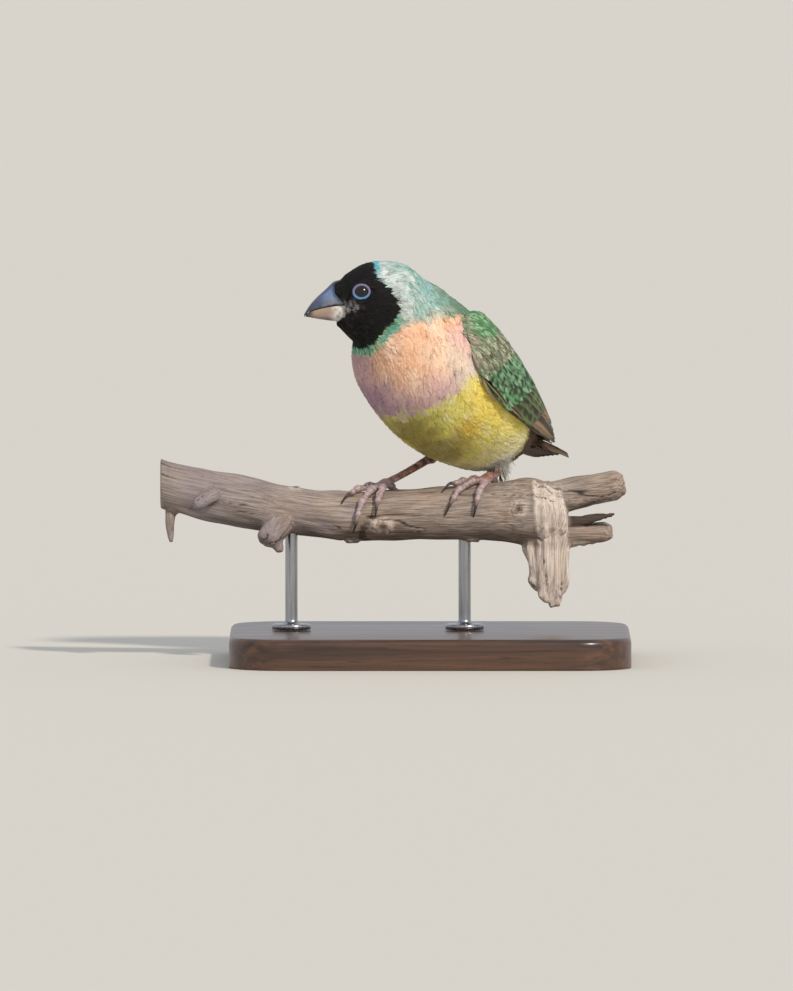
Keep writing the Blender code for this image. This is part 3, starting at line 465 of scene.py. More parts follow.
def mesh_object(name, points, faces):
    """An object from points in millimetres and arrays of faces, each with its own number of corners."""
    mesh = bpy.data.meshes.new(name)
    mesh.vertices.add(len(points))
    mesh.vertices.foreach_set("co", (np.asarray(points) * MM).astype(np.float32).ravel())
    corners = np.concatenate([np.asarray(group).ravel() for group in faces]).astype(np.int32)
    sizes = np.concatenate([np.full(len(group), np.asarray(group).shape[1]) for group in faces])
    mesh.loops.add(len(corners))
    mesh.loops.foreach_set("vertex_index", corners)
    mesh.polygons.add(len(sizes))
    mesh.polygons.foreach_set("loop_start", (np.cumsum(sizes) - sizes).astype(np.int32))
    mesh.update(calc_edges=True)
    mesh.shade_smooth()
    made = bpy.data.objects.new(name, mesh)
    bpy.context.scene.collection.objects.link(made)
    return made


def colour_points(piece, colours, name="tint"):
    """Stores one linear colour for each point of a piece."""
    layer = piece.data.color_attributes.new(name, "FLOAT_COLOR", "POINT")
    full = np.ones((len(colours), 4), np.float32)
    full[:, :3] = np.clip(colours, 0.0, 1.0)
    layer.data.foreach_set("color", full.ravel())


def store_vectors(piece, vectors, name):
    layer = piece.data.attributes.new(name, "FLOAT_VECTOR", "POINT")
    layer.data.foreach_set("vector", np.asarray(vectors, np.float32).ravel())


def map_points(piece, places):
    """Gives a piece its OFBake map from one place for each point."""
    layer = piece.data.uv_layers.new(name="OFBake")
    corner_points = np.empty(len(piece.data.loops), np.int32)
    piece.data.loops.foreach_get("vertex_index", corner_points)
    layer.uv.foreach_set("vector", np.asarray(places, np.float32)[corner_points].ravel())


def place_piece(piece, look, replaced=()):
    """Gives a piece its material, its body and the solids that it stands for."""
    piece.data.materials.clear()
    piece.data.materials.append(look)
    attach(piece, "root")
    if replaced:
        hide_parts(*replaced)
    return piece


def grid_faces(rows, columns, closed=True, first=0):
    """Quads between rows of points; closed joins the last column to the first."""
    r, c = np.meshgrid(np.arange(rows - 1), np.arange(columns if closed else columns - 1), indexing="ij")
    low, near = first + r * columns + c, (c + 1) % columns
    across = first + r * columns + near
    return np.stack([low, across, across + columns, low + columns], -1).reshape(-1, 4)


def outward(points, faces):
    """The faces of a closed skin, turned to face outwards."""
    volume = 0.0
    for group in faces:
        corners = points[group] - points.mean(0)
        normal = np.cross(corners[:, 1] - corners[:, 0], corners[:, 2] - corners[:, 0])
        volume += (normal * corners.mean(1)).sum()
    return faces if volume > 0 else [group[:, ::-1] for group in faces]


def capped(rings):
    """Points and faces of a closed skin over rings, each end closed by a fan round its middle."""
    count, sides = rings.shape[:2]
    points = np.concatenate([rings.reshape(-1, 3), rings[0].mean(0)[None], rings[-1].mean(0)[None]])
    i = np.arange(sides)
    j = (i + 1) % sides
    top = (count - 1) * sides
    start = np.stack([j, i, np.full(sides, count * sides)], -1)
    end = np.stack([top + i, top + j, np.full(sides, count * sides + 1)], -1)
    return points, outward(points, [grid_faces(count, sides), np.concatenate([start, end])])


def joined(parts):
    """Several (points, faces) as one."""
    points, faces, first = [], {}, 0
    for part_points, part_faces in parts:
        points.append(part_points)
        for group in part_faces:
            faces.setdefault(group.shape[1], []).append(group + first)
        first += len(part_points)
    return np.concatenate(points), [np.concatenate(groups) for groups in faces.values()]


def swept(line, radii, sides, shape=None):
    """Rings round a line; shape gives each ring's radius shares by ring and side."""
    line = np.asarray(line, float)
    ahead = unit(np.gradient(line, axis=0))
    side = np.cross(ahead[0], (0.0, 0.0, 1.0))
    if np.linalg.norm(side) < 0.1:
        side = np.array([1.0, 0.0, 0.0])
    turns = 2 * math.pi * np.arange(sides) / sides
    rings = []
    for i, (point, run) in enumerate(zip(line, ahead)):
        side = unit(side - run * (side @ run))
        other = np.cross(run, side)
        reach = radii[i] * (shape[i] if shape is not None else np.ones(sides))
        rings.append(point + reach[:, None] * (np.cos(turns)[:, None] * side + np.sin(turns)[:, None] * other))
    return np.array(rings)


def mesh_arrays(mesh):
    """Points, normals and triangles of a mesh, lengths in millimetres."""
    mesh.calc_loop_triangles()
    points = np.empty(len(mesh.vertices) * 3, np.float32)
    normals = np.empty(len(mesh.vertices) * 3, np.float32)
    triangles = np.empty(len(mesh.loop_triangles) * 3, np.int32)
    mesh.vertices.foreach_get("co", points)
    mesh.vertices.foreach_get("normal", normals)
    mesh.loop_triangles.foreach_get("vertices", triangles)
    return points.reshape(-1, 3) / MM, normals.reshape(-1, 3).astype(float), triangles.reshape(-1, 3)


def modified(piece):
    """The mesh that a piece's modifiers make; the piece is then removed."""
    graph = bpy.context.evaluated_depsgraph_get()
    mesh = bpy.data.meshes.new_from_object(piece.evaluated_get(graph))
    bpy.data.objects.remove(piece)
    return mesh


def welded_node(name, growth=0.0):
    """A solid's points and triangles, with its loose corners joined and its skin moved out."""
    shape = bmesh.new()
    shape.from_mesh(NODES[name].data)
    bmesh.ops.remove_doubles(shape, verts=shape.verts, dist=1e-6)
    bmesh.ops.triangulate(shape, faces=shape.faces)
    shape.normal_update()
    points = np.array([vert.co + vert.normal * growth * MM for vert in shape.verts]) / MM
    triangles = np.array([[vert.index for vert in face.verts] for face in shape.faces])
    shape.free()
    return points, [triangles]


# Materials


class Look:
    """A Principled material with a short way to add and join nodes."""

    def __init__(self, name, **values):
        self.material = bpy.data.materials.new(name)
        self.material.use_nodes = True
        self.tree = self.material.node_tree
        self.shader = self.tree.nodes["Principled BSDF"]
        for socket, value in values.items():
            self.shader.inputs[socket.replace("_", " ")].default_value = value

    def link(self, source, target):
        self.tree.links.new(source, target)
        return source

    def node(self, kind, **values):
        """A node with attributes set by name, or sockets set by in_NAME or in_NUMBER."""
        made = self.tree.nodes.new("ShaderNode" + kind)
        for name, value in values.items():
            if name.startswith("in_"):
                key = name[3:].replace("_", " ")
                socket = made.inputs[int(key) if key.isdigit() else key]
                if isinstance(value, bpy.types.NodeSocket):
                    self.link(value, socket)
                else:
                    socket.default_value = value
            else:
                setattr(made, name, value)
        return made

    def attribute(self, name, output="Color"):
        return self.node("Attribute", attribute_name=name).outputs[output]

    def place(self):
        return self.node("TexCoord").outputs["Object"]

    def noise(self, vector, scale, detail=4.0, roughness=0.55, distortion=0.0):
        made = self.node(
            "TexNoise",
            in_Vector=vector,
            in_Scale=scale,
            in_Detail=detail,
            in_Roughness=roughness,
            in_Distortion=distortion,
        )
        return made.outputs["Fac"]

    def scaled(self, vector, scale):
        return self.node("Mapping", in_Vector=vector, in_Scale=scale).outputs["Vector"]

    def levels(self, value, low, high, to_low=0.0, to_high=1.0):
        made = self.node("MapRange", in_Value=value)
        for name, number in (("From Min", low), ("From Max", high), ("To Min", to_low), ("To Max", to_high)):
            made.inputs[name].default_value = number
        return made.outputs["Result"]

    def blend(self, share, one, other, kind="MIX"):
        made = self.node("Mix", data_type="RGBA", blend_type=kind)
        for socket, value in ((made.inputs[0], share), (made.inputs[6], one), (made.inputs[7], other)):
            if isinstance(value, bpy.types.NodeSocket):
                self.link(value, socket)
            elif np.ndim(value):
                socket.default_value = (*value, 1.0)
            else:
                socket.default_value = value
        return made.outputs[2]

    def sum(self, one, other, operation="ADD"):
        return self.node("Math", operation=operation, in_0=one, in_1=other).outputs[0]

    def bump(self, height, strength, distance=0.05):
        made = self.node("Bump", in_Height=height, in_Strength=strength, in_Distance=distance * MM)
        self.link(made.outputs["Normal"], self.shader.inputs["Normal"])

    def colour(self, source):
        self.link(source, self.shader.inputs["Base Color"])

    def roughness(self, source):
        self.link(source, self.shader.inputs["Roughness"])


def plumage_look(name):
    """Soft small feathers: the stored markings with fine uneven strands."""
    look = Look(name, Roughness=0.8, Sheen_Weight=0.03, Sheen_Roughness=0.6)
    look.shader.inputs["Specular IOR Level"].default_value = 0.25
    fine = look.noise(look.place(), 2600.0, 3.0)
    shade = look.levels(fine, 0.3, 0.7, 0.82, 1.12)
    look.colour(look.blend(1.0, look.attribute("tint"), look.node("CombineColor", in_0=shade, in_1=shade, in_2=shade).outputs[0], "MULTIPLY"))
    look.bump(fine, 0.35, 0.08)
    return look.material


def vane_look(name):
    """Flight feathers: barbs that run out and back from each shaft."""
    look = Look(name, Roughness=0.6, Sheen_Weight=0.02)
    look.shader.inputs["Specular IOR Level"].default_value = 0.22
    vane = look.attribute("vane", "Vector")
    barbs = look.noise(look.scaled(vane, (2.2, 26.0, 1.0)), 1.0, 2.0, 0.6)
    shade = look.levels(barbs, 0.32, 0.68, 0.62, 1.26)
    look.colour(look.blend(1.0, look.attribute("tint"), look.node("CombineColor", in_0=shade, in_1=shade, in_2=shade).outputs[0], "MULTIPLY"))
    look.bump(barbs, 0.6, 0.06)
    look.roughness(look.levels(barbs, 0.3, 0.7, 0.5, 0.7))
    return look.material


def tinted_look(name, scale, depth, roughness, spread=0.12, strength=0.4, **values):
    """A stored colour with fine lumps in its shade and surface."""
    look = Look(name, Roughness=roughness, **values)
    lumps = look.noise(look.place(), scale, 5.0)
    shade = look.levels(lumps, 0.3, 0.7, 1.0 - spread, 1.0 + spread)
    look.colour(look.blend(1.0, look.attribute("tint"), look.node("CombineColor", in_0=shade, in_1=shade, in_2=shade).outputs[0], "MULTIPLY"))
    look.roughness(look.levels(lumps, 0.3, 0.7, roughness * 0.85, min(1.0, roughness * 1.2)))
    look.bump(lumps, strength, depth)
    return look.material


# The markings


def neck_distance(points):
    """How far a point lies above the upper edge of the breast."""
    a, b, c = into(NECK, points).T
    return signed_distance(a, c, BREAST_TOP[::-1])


def mask_distance(points):
    """How far a point lies outside the black mask."""
    a, b, c = into(HEAD, points).T
    return signed_distance(a, c, MASK_EDGE[::-1])


def breast_edge(body):
    """The station of the lower edge of the breast at each point of the body frame."""
    a, b, c = body.T
    return 12.7 - 4.0 * np.clip((c + 16.0) / 14.0, 0.0, 1.2) ** 2 + 0.4 * np.minimum(b, 0.0)


def upper_colours(points):
    """Nape, mantle, back and rump."""
    body, head = into(BODY, points), into(HEAD, points)
    a, b, c = body.T
    outside = mask_distance(points)
    lumps, fine = mottle(points, 3.2, 5), mottle(points, 1.1, 6)
    colours = mix(HUES["nape_pale"], HUES["nape_mint"], smooth_step(outside + 1.4 * lumps, 2.0, 8.0))
    turquoise = smooth_step(head[:, 2] + 1.6 * lumps, 4.0, 9.0) * smooth_step(outside, 4.0, 9.0)
    colours = mix(colours, HUES["nape_turquoise"], 0.8 * turquoise)
    blue = smooth_step(mottle(points, 2.6, 9), 0.2, 1.0) * smooth_step(outside, 5.0, 9.0)
    colours = mix(colours, HUES["nape_blue"], 0.55 * blue)
    flecks = smooth_step(mottle(points, 0.9, 10), 0.1, 1.0) * smooth_step(outside, 1.5, 4.0)
    colours = mix(colours, HUES["nape_turquoise"], 0.6 * flecks)
    colours = mix(colours, HUES["wing_umber"], 0.3 * smooth_step(mottle(points, 1.0, 14), 0.5, 1.2))
    colours = mix(colours, HUES["nape_turquoise"], 0.7 * smooth_step(outside + 2.0 * lumps, 11.0, 17.0))
    beige = 1 - smooth_step(neck_distance(points) + 0.8 * lumps, 0.4, 3.6)
    colours = mix(colours, HUES["nape_beige"], 0.75 * beige)
    colours = mix(colours, HUES["mantle"], smooth_step(-a + 1.5 * lumps, -25.0, -17.0))
    colours = mix(colours, HUES["back_green"], 0.85 * smooth_step(-a + 2.0 * lumps, -18.0, -8.0))
    colours = mix(colours, HUES["rump"], smooth_step(-a + 2.0 * lumps, 14.0, 22.0))
    colours = mix(colours, HUES["tail_brown"], smooth_step(-a + 0.35 * np.abs(b), 33.0, 37.0))
    colours = colours * (1 + 0.15 * fine[:, None])
    low = 1 - smooth_step(head[:, 2], -6.0, -3.0)
    high = smooth_step(head[:, 2], 4.0, 8.5)
    strip = 0.8 + 1.2 * low + 0.7 * high
    strength = 0.12 + 0.85 * np.maximum(low, high)
    collar = mix(HUES["collar_green"], HUES["collar_blue"], smooth_step(head[:, 2], -2.0, 4.0))
    collar = mix(collar, HUES["collar_pale"], 0.8 * low * smooth_step(mottle(points, 0.8, 8), 0.0, 0.6))
    return mix(colours, collar, strength * (1 - smooth_step(outside, strip * 0.7, strip * 1.3)))


def breast_colours(points):
    """Peach, lilac at the bird's right and below, partly the breast's own colour and partly painted shade on the side
    away from the sun, and pale beside the wings.
    """
    body = into(BODY, points)
    a, b, c = body.T
    lumps, fine = mottle(points, 4.5, 11), mottle(points, 1.2, 12)
    above = a - breast_edge(body) + 1.2 * lumps
    colours = mix(HUES["peach"], HUES["peach_light"], smooth_step(mottle(points, 5.0, 13), -0.5, 1.0))
    top = 1 - smooth_step(-neck_distance(points), 1.0, 8.0)
    patches = smooth_step(lumps + 0.5 * fine, -0.3, 1.0)
    colours = mix(colours, HUES["peach_dark"], np.clip(0.7 * top * patches + 0.12 * patches, 0, 1))
    colours = mix(colours, HUES["lilac_pink"], 1 - smooth_step(above, 2.0, 11.0))
    # Lilac share: partly the breast's own lilac, partly painted shade on the bird's right side and low down, away from
    # the sun.
    lilac_and_shade = smooth_step(-b + 1.8 * lumps, -6.0, 6.0) * (1 - smooth_step(above, 7.0, 17.0))
    lilac_and_shade = np.maximum(lilac_and_shade, 0.75 * (1 - smooth_step(above, 0.5, 4.5)) * smooth_step(-b, -14.0, -4.0))
    lilac_and_shade = np.maximum(lilac_and_shade, 0.75 * smooth_step(-b + 1.2 * lumps, 2.0, 7.5))
    colours = mix(colours, HUES["lilac"], 0.9 * lilac_and_shade)
    beside = smooth_step(b + 0.6 * lumps, 13.0, 16.6)
    colours = mix(colours, mix(HUES["breast_pale"], HUES["lilac_pink"], smooth_step(c, -2.0, 3.0)), 0.7 * beside)
    return colours * (1 + 0.05 * fine[:, None])


def belly_colours(points):
    """Yellow, brightest at the flanks, olive below and darkened there with painted shade, and cream to white behind."""
    body = into(BODY, points)
    a, b, c = body.T
    side = np.abs(b)
    lumps, fine = mottle(points, 5.0, 21), mottle(points, 1.3, 22)
    colours = mix(HUES["yellow"], HUES["yellow_pale"], 0.7 * smooth_step(mottle(points, 4.0, 23), 0.0, 1.0))
    # Olive below: partly the plumage's own tinge, partly painted shade on the belly's underside.
    colours = mix(colours, HUES["yellow_olive_and_shade"], 0.8 * smooth_step(-c + 1.4 * lumps, 13.5, 18.5))
    colours = mix(colours, HUES["yellow_bright"], 0.9 * smooth_step(side + lumps, 12.0, 17.0))
    patch = np.exp(-(((a + 0.5) / 3.6) ** 2) - (((side - 12.5) / 3.0) ** 2) - (((c + 13.5) / 4.0) ** 2))
    colours = mix(colours, HUES["yellow_orange"], np.clip(0.7 * patch, 0, 1))
    rear = smooth_step(-a + 1.6 * lumps, 8.0, 16.0) * smooth_step(-c + 1.5 * lumps, 4.0, 10.0)
    colours = mix(colours, HUES["cream"], (0.45 + 0.25 * smooth_step(mottle(points, 1.8, 24), -0.3, 0.6)) * rear)
    low = smooth_step(-c + lumps, 8.0, 14.0)
    colours = mix(colours, HUES["vent_white"], (0.25 + 0.5 * low) * smooth_step(-a + lumps, 18.0, 24.0))
    colours = mix(colours, HUES["tail_brown"], smooth_step(-a + 0.45 * c + 1.2 * lumps, 22.0, 25.4) * smooth_step(c + side, -4.0, 0.0))
    return colours * (1 + 0.07 * fine[:, None])


def thigh_fluff(points):
    """How near points are to the white down round the top of the left shank."""
    hock = np.array(LEGS["left"]["hock"]) + (0.0, 0.0, PERCH_HEIGHT + 2.4)
    return 1 - smooth_step(np.linalg.norm(points - hock, axis=1), 2.2, 5.0)


def plumage_colours(points):
    """The bird's markings at points of its skin."""
    body, head = into(BODY, points), into(HEAD, points)
    a, b, c = body.T
    ragged = 0.35 * mottle(points, 1.0, 31) + 0.25 * mottle(points, 2.6, 32)
    above = a - breast_edge(body) + 3.0 * ragged
    under = mix(belly_colours(points), breast_colours(points), smooth_step(above, -1.6, 1.6))
    seam = np.exp(-((above / 1.6) ** 2)) * smooth_step(b, -9.0, -3.0)
    under = mix(under, HUES["yellow_pale"], 0.55 * seam)
    ahead = smooth_step(a, 11.0, 15.0)
    back_line = 7.0 + 0.12 * np.minimum(a, 0.0)
    height = ahead * neck_distance(points) + (1 - ahead) * (c - back_line)
    colours = mix(under, upper_colours(points), smooth_step(height + ragged, -0.5, 0.5))
    colours = mix(colours, HUES["vent_white"], 0.9 * thigh_fluff(points))
    outside = mask_distance(points) + 0.4 * ragged
    low_collar = (1 - smooth_step(outside, 1.8, 2.4)) * (head[:, 2] < -4.0)
    colours = mix(colours, upper_colours(points), low_collar)
    flecks = smooth_step(mottle(points, 1.3, 33), 0.3, 1.1)
    chin = np.exp(-((head[:, 0] - 5.0) / 4.0) ** 2 - ((head[:, 2] + 8.5) / 3.5) ** 2)
    mask = mix(HUES["mask"], HUES["mask_fleck"], flecks * (0.6 * chin + 0.12))
    lore = np.exp(-((head[:, 0] - 4.1) / 1.5) ** 2 - ((head[:, 2] + 2.4) / 1.5) ** 2)
    mask = mix(mask, HUES["lore"], np.clip(lore * (0.9 + 1.1 * mottle(points, 0.8, 34)), 0, 0.95))
    return mix(mask, colours, smooth_step(outside, -0.25, 0.25))


# Skin and coat


def egg_rings(rows, rings, sides, growth=0.0):
    """Rings in the body frame round the tail's middle line."""
    found = []
    turns = 2 * math.pi * np.arange(sides) / sides
    for station in np.linspace(rows[0][0], rows[-1][0], rings):
        width, top, bottom = along(rows, station) + growth
        across, rise = along(TAIL_LINE, station)
        height = np.where(np.sin(turns) > 0, top, bottom)
        ring = np.stack([np.full(sides, station), across + width * np.cos(turns), rise + height * np.sin(turns)], -1)
        found.append(out_of(BODY, ring))
    return np.array(found)


def ball(centre, radius, rings=10, sides=16):
    found = []
    for i in range(1, rings):
        turn = math.pi * i / rings
        turns = 2 * math.pi * np.arange(sides) / sides
        ring = np.stack([np.cos(turns) * math.sin(turn), np.sin(turns) * math.sin(turn), np.full(sides, math.cos(turn))], -1)
        found.append(np.asarray(centre) + radius * ring[::-1])
    return capped(np.array(found))


def eye_centre(side):
    station, height = EYE_PLACE
    width, top, bottom, middle = along(HEAD_EGG, station)
    reach = width * math.sqrt(1 - ((height - middle) / top) ** 2)
    return out_of(HEAD, (station, side * (reach - EYE_DEPTH), height))


def coat_depth(points):
    """How deep the coat is at each point."""
    head = into(HEAD, points)
    return COAT_DEPTH + (FACE_DEPTH - COAT_DEPTH) * smooth_step(head[:, 0], -9.0, 5.0)


def tucked_face(points):
    """The face drawn in to the base of the bill: a sloping forehead, and a gape further back."""
    head = into(HEAD, points)
    head[:, 1] *= 1 - FACE_TAPER * smooth_step(head[:, 0], 1.5, 6.5) * smooth_step(np.abs(head[:, 1]), 4.0, 6.5)
    limit = GAPE_STATION + (FOREHEAD_STATION - GAPE_STATION) * smooth_step(head[:, 2], -2.6, 1.8)
    limit += CHIN_REACH * smooth_step(-head[:, 2], 5.4, 6.2)
    head[:, 0] -= 0.9 * np.maximum(head[:, 0] - limit, 0.0)
    head[:, 2] -= FOREHEAD_DROP * smooth_step(head[:, 0], 0.0, 5.0) * smooth_step(head[:, 2], 2.0, 5.0)
    return out_of(HEAD, head)


def bill_collar():
    """A form round the base of the upper bill, which carries the short feathers of the forehead."""
    rings = []
    turns = 2 * math.pi * np.arange(24) / 24
    for station in np.linspace(3.0, FOREHEAD_STATION + 0.6, 8):
        width, top, bottom = along(BILL_UPPER, max(station, BILL_UPPER[0][0]))
        middle, half = (top + bottom) / 2, (top - bottom) / 2 + COLLAR_GROWTH
        across = (width + COLLAR_GROWTH) * np.cos(turns)
        rings.append(np.stack([np.full(24, station), across, middle + half * np.sin(turns)], -1))
    return capped(out_of(HEAD, np.array(rings)))


def skin_arrays():
    """One smooth skin in place of the flesh, inside it by the coat's depth."""
    plug = ball(out_of(HEAD, (4.6, 0.0, -1.4)), 3.4)
    chin = [ball(out_of(HEAD, (a, 0.0, c)), radius) for a, c, radius in CHIN]
    sockets = [ball(eye_centre(side) - HEAD[1][1] * side * 0.7, EYE_RADIUS + 0.2) for side in (1, -1)]
    parts = [welded_node(name, SEAM_GROWTH) for name in FLESH]
    parts += [plug, bill_collar(), *chin, *sockets, capped(egg_rings(TAIL_COVERTS, 8, 20, -0.3)[::-1])]
    shape = mesh_object("skin_form", *joined(parts))
    remesh = shape.modifiers.new("even", "REMESH")
    remesh.mode, remesh.voxel_size = "VOXEL", SKIN_VOXEL * MM
    smooth = shape.modifiers.new("smooth", "SMOOTH")
    smooth.factor, smooth.iterations = 0.5, SKIN_SMOOTHING
    mesh = modified(shape)
    points, normals, triangles = mesh_arrays(mesh)
    faces = np.empty(len(mesh.loops), np.int32)
    mesh.loops.foreach_get("vertex_index", faces)
    points = points - normals * (coat_depth(points) + SEAM_GROWTH)[:, None]
    return tucked_face(points), faces.reshape(-1, 4)


def unwrap(points):
    """Places on the shared map: the head in its upper part and the body in its lower, each rolled out."""
    head, body = into(HEAD, points), into(BODY, points)
    on_head = head[:, 0] > -9.0
    head_turn = np.arctan2(head[:, 1], head[:, 2]) / (2 * math.pi) + 0.5
    body_turn = np.arctan2(body[:, 1], body[:, 2]) / (2 * math.pi) + 0.5
    head_place = np.stack([0.02 + 0.96 * head_turn, 0.66 + 0.32 * np.clip((head[:, 0] + 9.0) / 20.0, 0, 1)], -1)
    body_place = np.stack([0.02 + 0.96 * body_turn, 0.02 + 0.60 * np.clip((body[:, 0] + 52.0) / 88.0, 0, 1)], -1)
    return np.where(on_head[:, None], head_place, body_place)


def lie_of(points, normals):
    """The direction in which the coat lies: back from the bill, down the breast and on to the tail."""
    head, body = into(HEAD, points), into(BODY, points)
    from_bill = unit(head - np.array([11.0, 0.0, -1.5])) @ HEAD[1]
    ahead = smooth_step(body[:, 0], -4.0, 18.0)[:, None]
    down_body = unit(np.array([-1.0, 0.0, 0.05]) * (1 - ahead) + np.array([-0.62, 0.0, -0.78]) * ahead) @ BODY[1]
    on_head = smooth_step(head[:, 0], -13.0, -4.0) * smooth_step(head[:, 2], -17.0, -11.0)
    lie = mix(down_body, from_bill, on_head)
    return unit(lie - normals * (lie * normals).sum(1, keepdims=True))


def face_share(points):
    """0 on the body and 1 beside the bill, where feathers are smallest."""
    head = into(HEAD, points)
    near = np.linalg.norm(head - np.array([8.0, 0.0, -1.5]), axis=1)
    return 1 - smooth_step(near, 5.0, 24.0)


def bill_covers(points, margin=-0.1):
    """Whether points lie inside the base of the bill."""
    a, b, c = into(HEAD, points).T
    station = np.clip(a, 6.4, 9.0)
    width, top, _ = np.moveaxis(along(BILL_UPPER, station), -1, 0)
    bottom = along(BILL_LOWER, station)[:, 2]
    middle, half = (top + bottom) / 2, (top - bottom) / 2
    inside = (b / (width + margin)) ** 2 + ((c - middle) / (half + margin)) ** 2 < 1
    return inside & (a > 3.8)


def wing_covers(points):
    """Whether a wing hides a point well inside its edges."""
    a = into(BODY, points)[:, 0]
    _, angle, _, _ = wing_place(points)
    low, high, _ = np.moveaxis(along(WING_EDGES, np.clip(a, -43.0, 17.5)), -1, 0)
    return (angle > low + 11) & (angle < high - 9) & (a > -36.0) & (a < 13.5)


def eye_covers(points, margin=0.0):
    hidden = np.zeros(len(points), bool)
    for side in (1, -1):
        from_eye = into(HEAD, points) - into(HEAD, eye_centre(side))
        reach = (from_eye[:, 0] / (LID_HALF_LENGTH + 0.3 + margin)) ** 2
        reach += (from_eye[:, 2] / (LID_HALF_HEIGHT + 0.3 + margin)) ** 2
        hidden |= (reach < 1) & (from_eye[:, 1] * side > -1.5)
    return hidden


def scatter(points, triangles, spacing, draws):
    """Random places on a skin, closer together where the spacing is smaller, and their triangles."""
    corners = points[triangles]
    cross = np.cross(corners[:, 1] - corners[:, 0], corners[:, 2] - corners[:, 0])
    area = np.linalg.norm(cross, axis=1) / 2
    gap = spacing * (1 - 0.45 * face_share(corners.mean(1)))
    wanted = area / gap**2
    count = int(wanted.sum())
    picked = np.searchsorted(np.cumsum(wanted), (np.arange(count) + draws.uniform(0, 1, count)) * wanted.sum() / count)
    picked = np.minimum(picked, len(triangles) - 1)
    u, v = draws.uniform(0, 1, (2, count))
    over = u + v > 1
    u, v = np.where(over, 1 - u, u), np.where(over, 1 - v, v)
    chosen = corners[picked]
    return chosen[:, 0] + u[:, None] * (chosen[:, 1] - chosen[:, 0]) + v[:, None] * (chosen[:, 2] - chosen[:, 0])


class Surface:
    """Nearest points and smooth normals on a skin."""

    def __init__(self, points, normals, triangles):
        self.normals, self.triangles = normals, triangles
        self.tree = BVHTree.FromPolygons([Vector(p) for p in points], triangles.tolist())

    def nearest(self, points):
        found = [self.tree.find_nearest(Vector(point)) for point in points]
        places = np.array([hit[0] for hit in found])
        faces = np.array([hit[2] for hit in found])
        return places, unit(self.normals[self.triangles[faces]].mean(1))


def clump_offsets(roots, draws):
    """From each root to the middle of the tuft that it belongs to."""
    gap = CLUMP_SPACING * (1 - 0.55 * face_share(roots))
    chosen = roots[draws.uniform(0, 1, len(roots)) < (COAT_LAYERS["strand"][0] / gap) ** 2]
    tree = KDTree(len(chosen))
    for i, point in enumerate(chosen):
        tree.insert(point, i)
    tree.balance()
    nearest = np.array([tree.find(root)[0] for root in roots])
    return nearest - roots


def wing_place(points):
    """Station, angle and height over the bed of the nearer wing, and whether its core reaches there."""
    a, b, c = into(BODY, points).T
    station = np.clip(a, -46.0, 19.0)
    width, top, bottom, middle = np.moveaxis(along(WING_BED, station), -1, 0)
    height = np.where(c > middle, top, bottom)
    out, up = np.abs(b) / width, (c - middle) / height
    angle, share = np.degrees(np.arctan2(up, out)), np.hypot(out, up)
    low, high, _ = np.moveaxis(along(WING_EDGES, np.clip(a, -43.0, 17.5)), -1, 0)
    inside = (angle > low) & (angle < high) & (a > -43.0) & (a < 17.8)
    return station, angle, (share - 1) * (width + height) / 2, inside


def feather_field(surface, roots, length, half_width, widths, draws, lie_of=lie_of, depth_of=coat_depth):
    """Points and normals (feather, step, corner) of thin feathers that lie along a skin from their roots."""
    roots, normals = surface.nearest(roots)
    lie = lie_of(roots, normals)
    count = len(roots)
    turn = (0.22 * mottle(roots, 2.2, 71) + draws.normal(0, 0.09, count))[:, None]
    lie = unit(lie + np.cross(normals, lie) * turn)
    size = 1 + 0.16 * draws.normal(size=count).clip(-2, 2)
    length, half_width = length * size, half_width * size
    pull = clump_offsets(roots, draws) * CLUMP_PULL
    rise = draws.uniform(0.84, 1.04, count) * depth_of(roots)
    stations, shading, place = [], [], roots
    steps = np.linspace(0, 1, len(widths))
    for i, (step, width) in enumerate(zip(steps, widths)):
        if i:
            run = steps[i] - steps[i - 1]
            place, normals = surface.nearest(place + lie * (run * length)[:, None] + pull * run)
            lie = unit(lie - normals * (lie * normals).sum(1, keepdims=True))
        lift = (-0.25 + (rise + 0.25) * min(1.0, step * 1.5) ** 0.8)[:, None]
        middle = place + normals * lift
        side = np.cross(normals, lie)
        reach = side * (half_width * width)[:, None]
        crown = normals * (0.35 * half_width * width)[:, None]
        stations.append(np.stack([middle + reach - crown, middle + crown, middle - reach - crown], 1))
        shading.append(unit(np.stack([normals + 0.4 * side, normals, normals - 0.4 * side], 1)))
    return roots, np.stack(stations, 1), np.stack(shading, 1), stations[-1][:, 1] * 0.7 + roots * 0.3


def feather_faces(count, steps):
    """Faces of every feather in a field: its three sides, closed at the root and at the tip."""
    sides = grid_faces(steps, 3)
    ends = np.array([[2, 1, 0], [0, 1, 2]]) + np.array([[0], [(steps - 1) * 3]])
    first = (np.arange(count) * steps * 3)[:, None, None]
    return [(sides[None] + first).reshape(-1, 4), (ends[None] + first).reshape(-1, 3)]


def feather_tints(colours, steps, draws):
    """Colours by feather, step and corner: each feather its own tone, with painted shade that darkens it towards its
    root and along its two edges.
    """
    shade = 1 + 0.06 * draws.normal(size=(len(colours), 1)).clip(-2, 2)
    # Painted shade along each feather: darkest at its root.
    painted_root_shade = np.linspace(0.88, 1.05, steps)[None, :, None, None]
    # Painted shade across each feather: its raised middle lighter than its two edges.
    corners = np.array([0.97, 1.03, 0.97])[None, None, :, None]
    return (colours * shade)[:, None, None, :] * painted_root_shade * corners


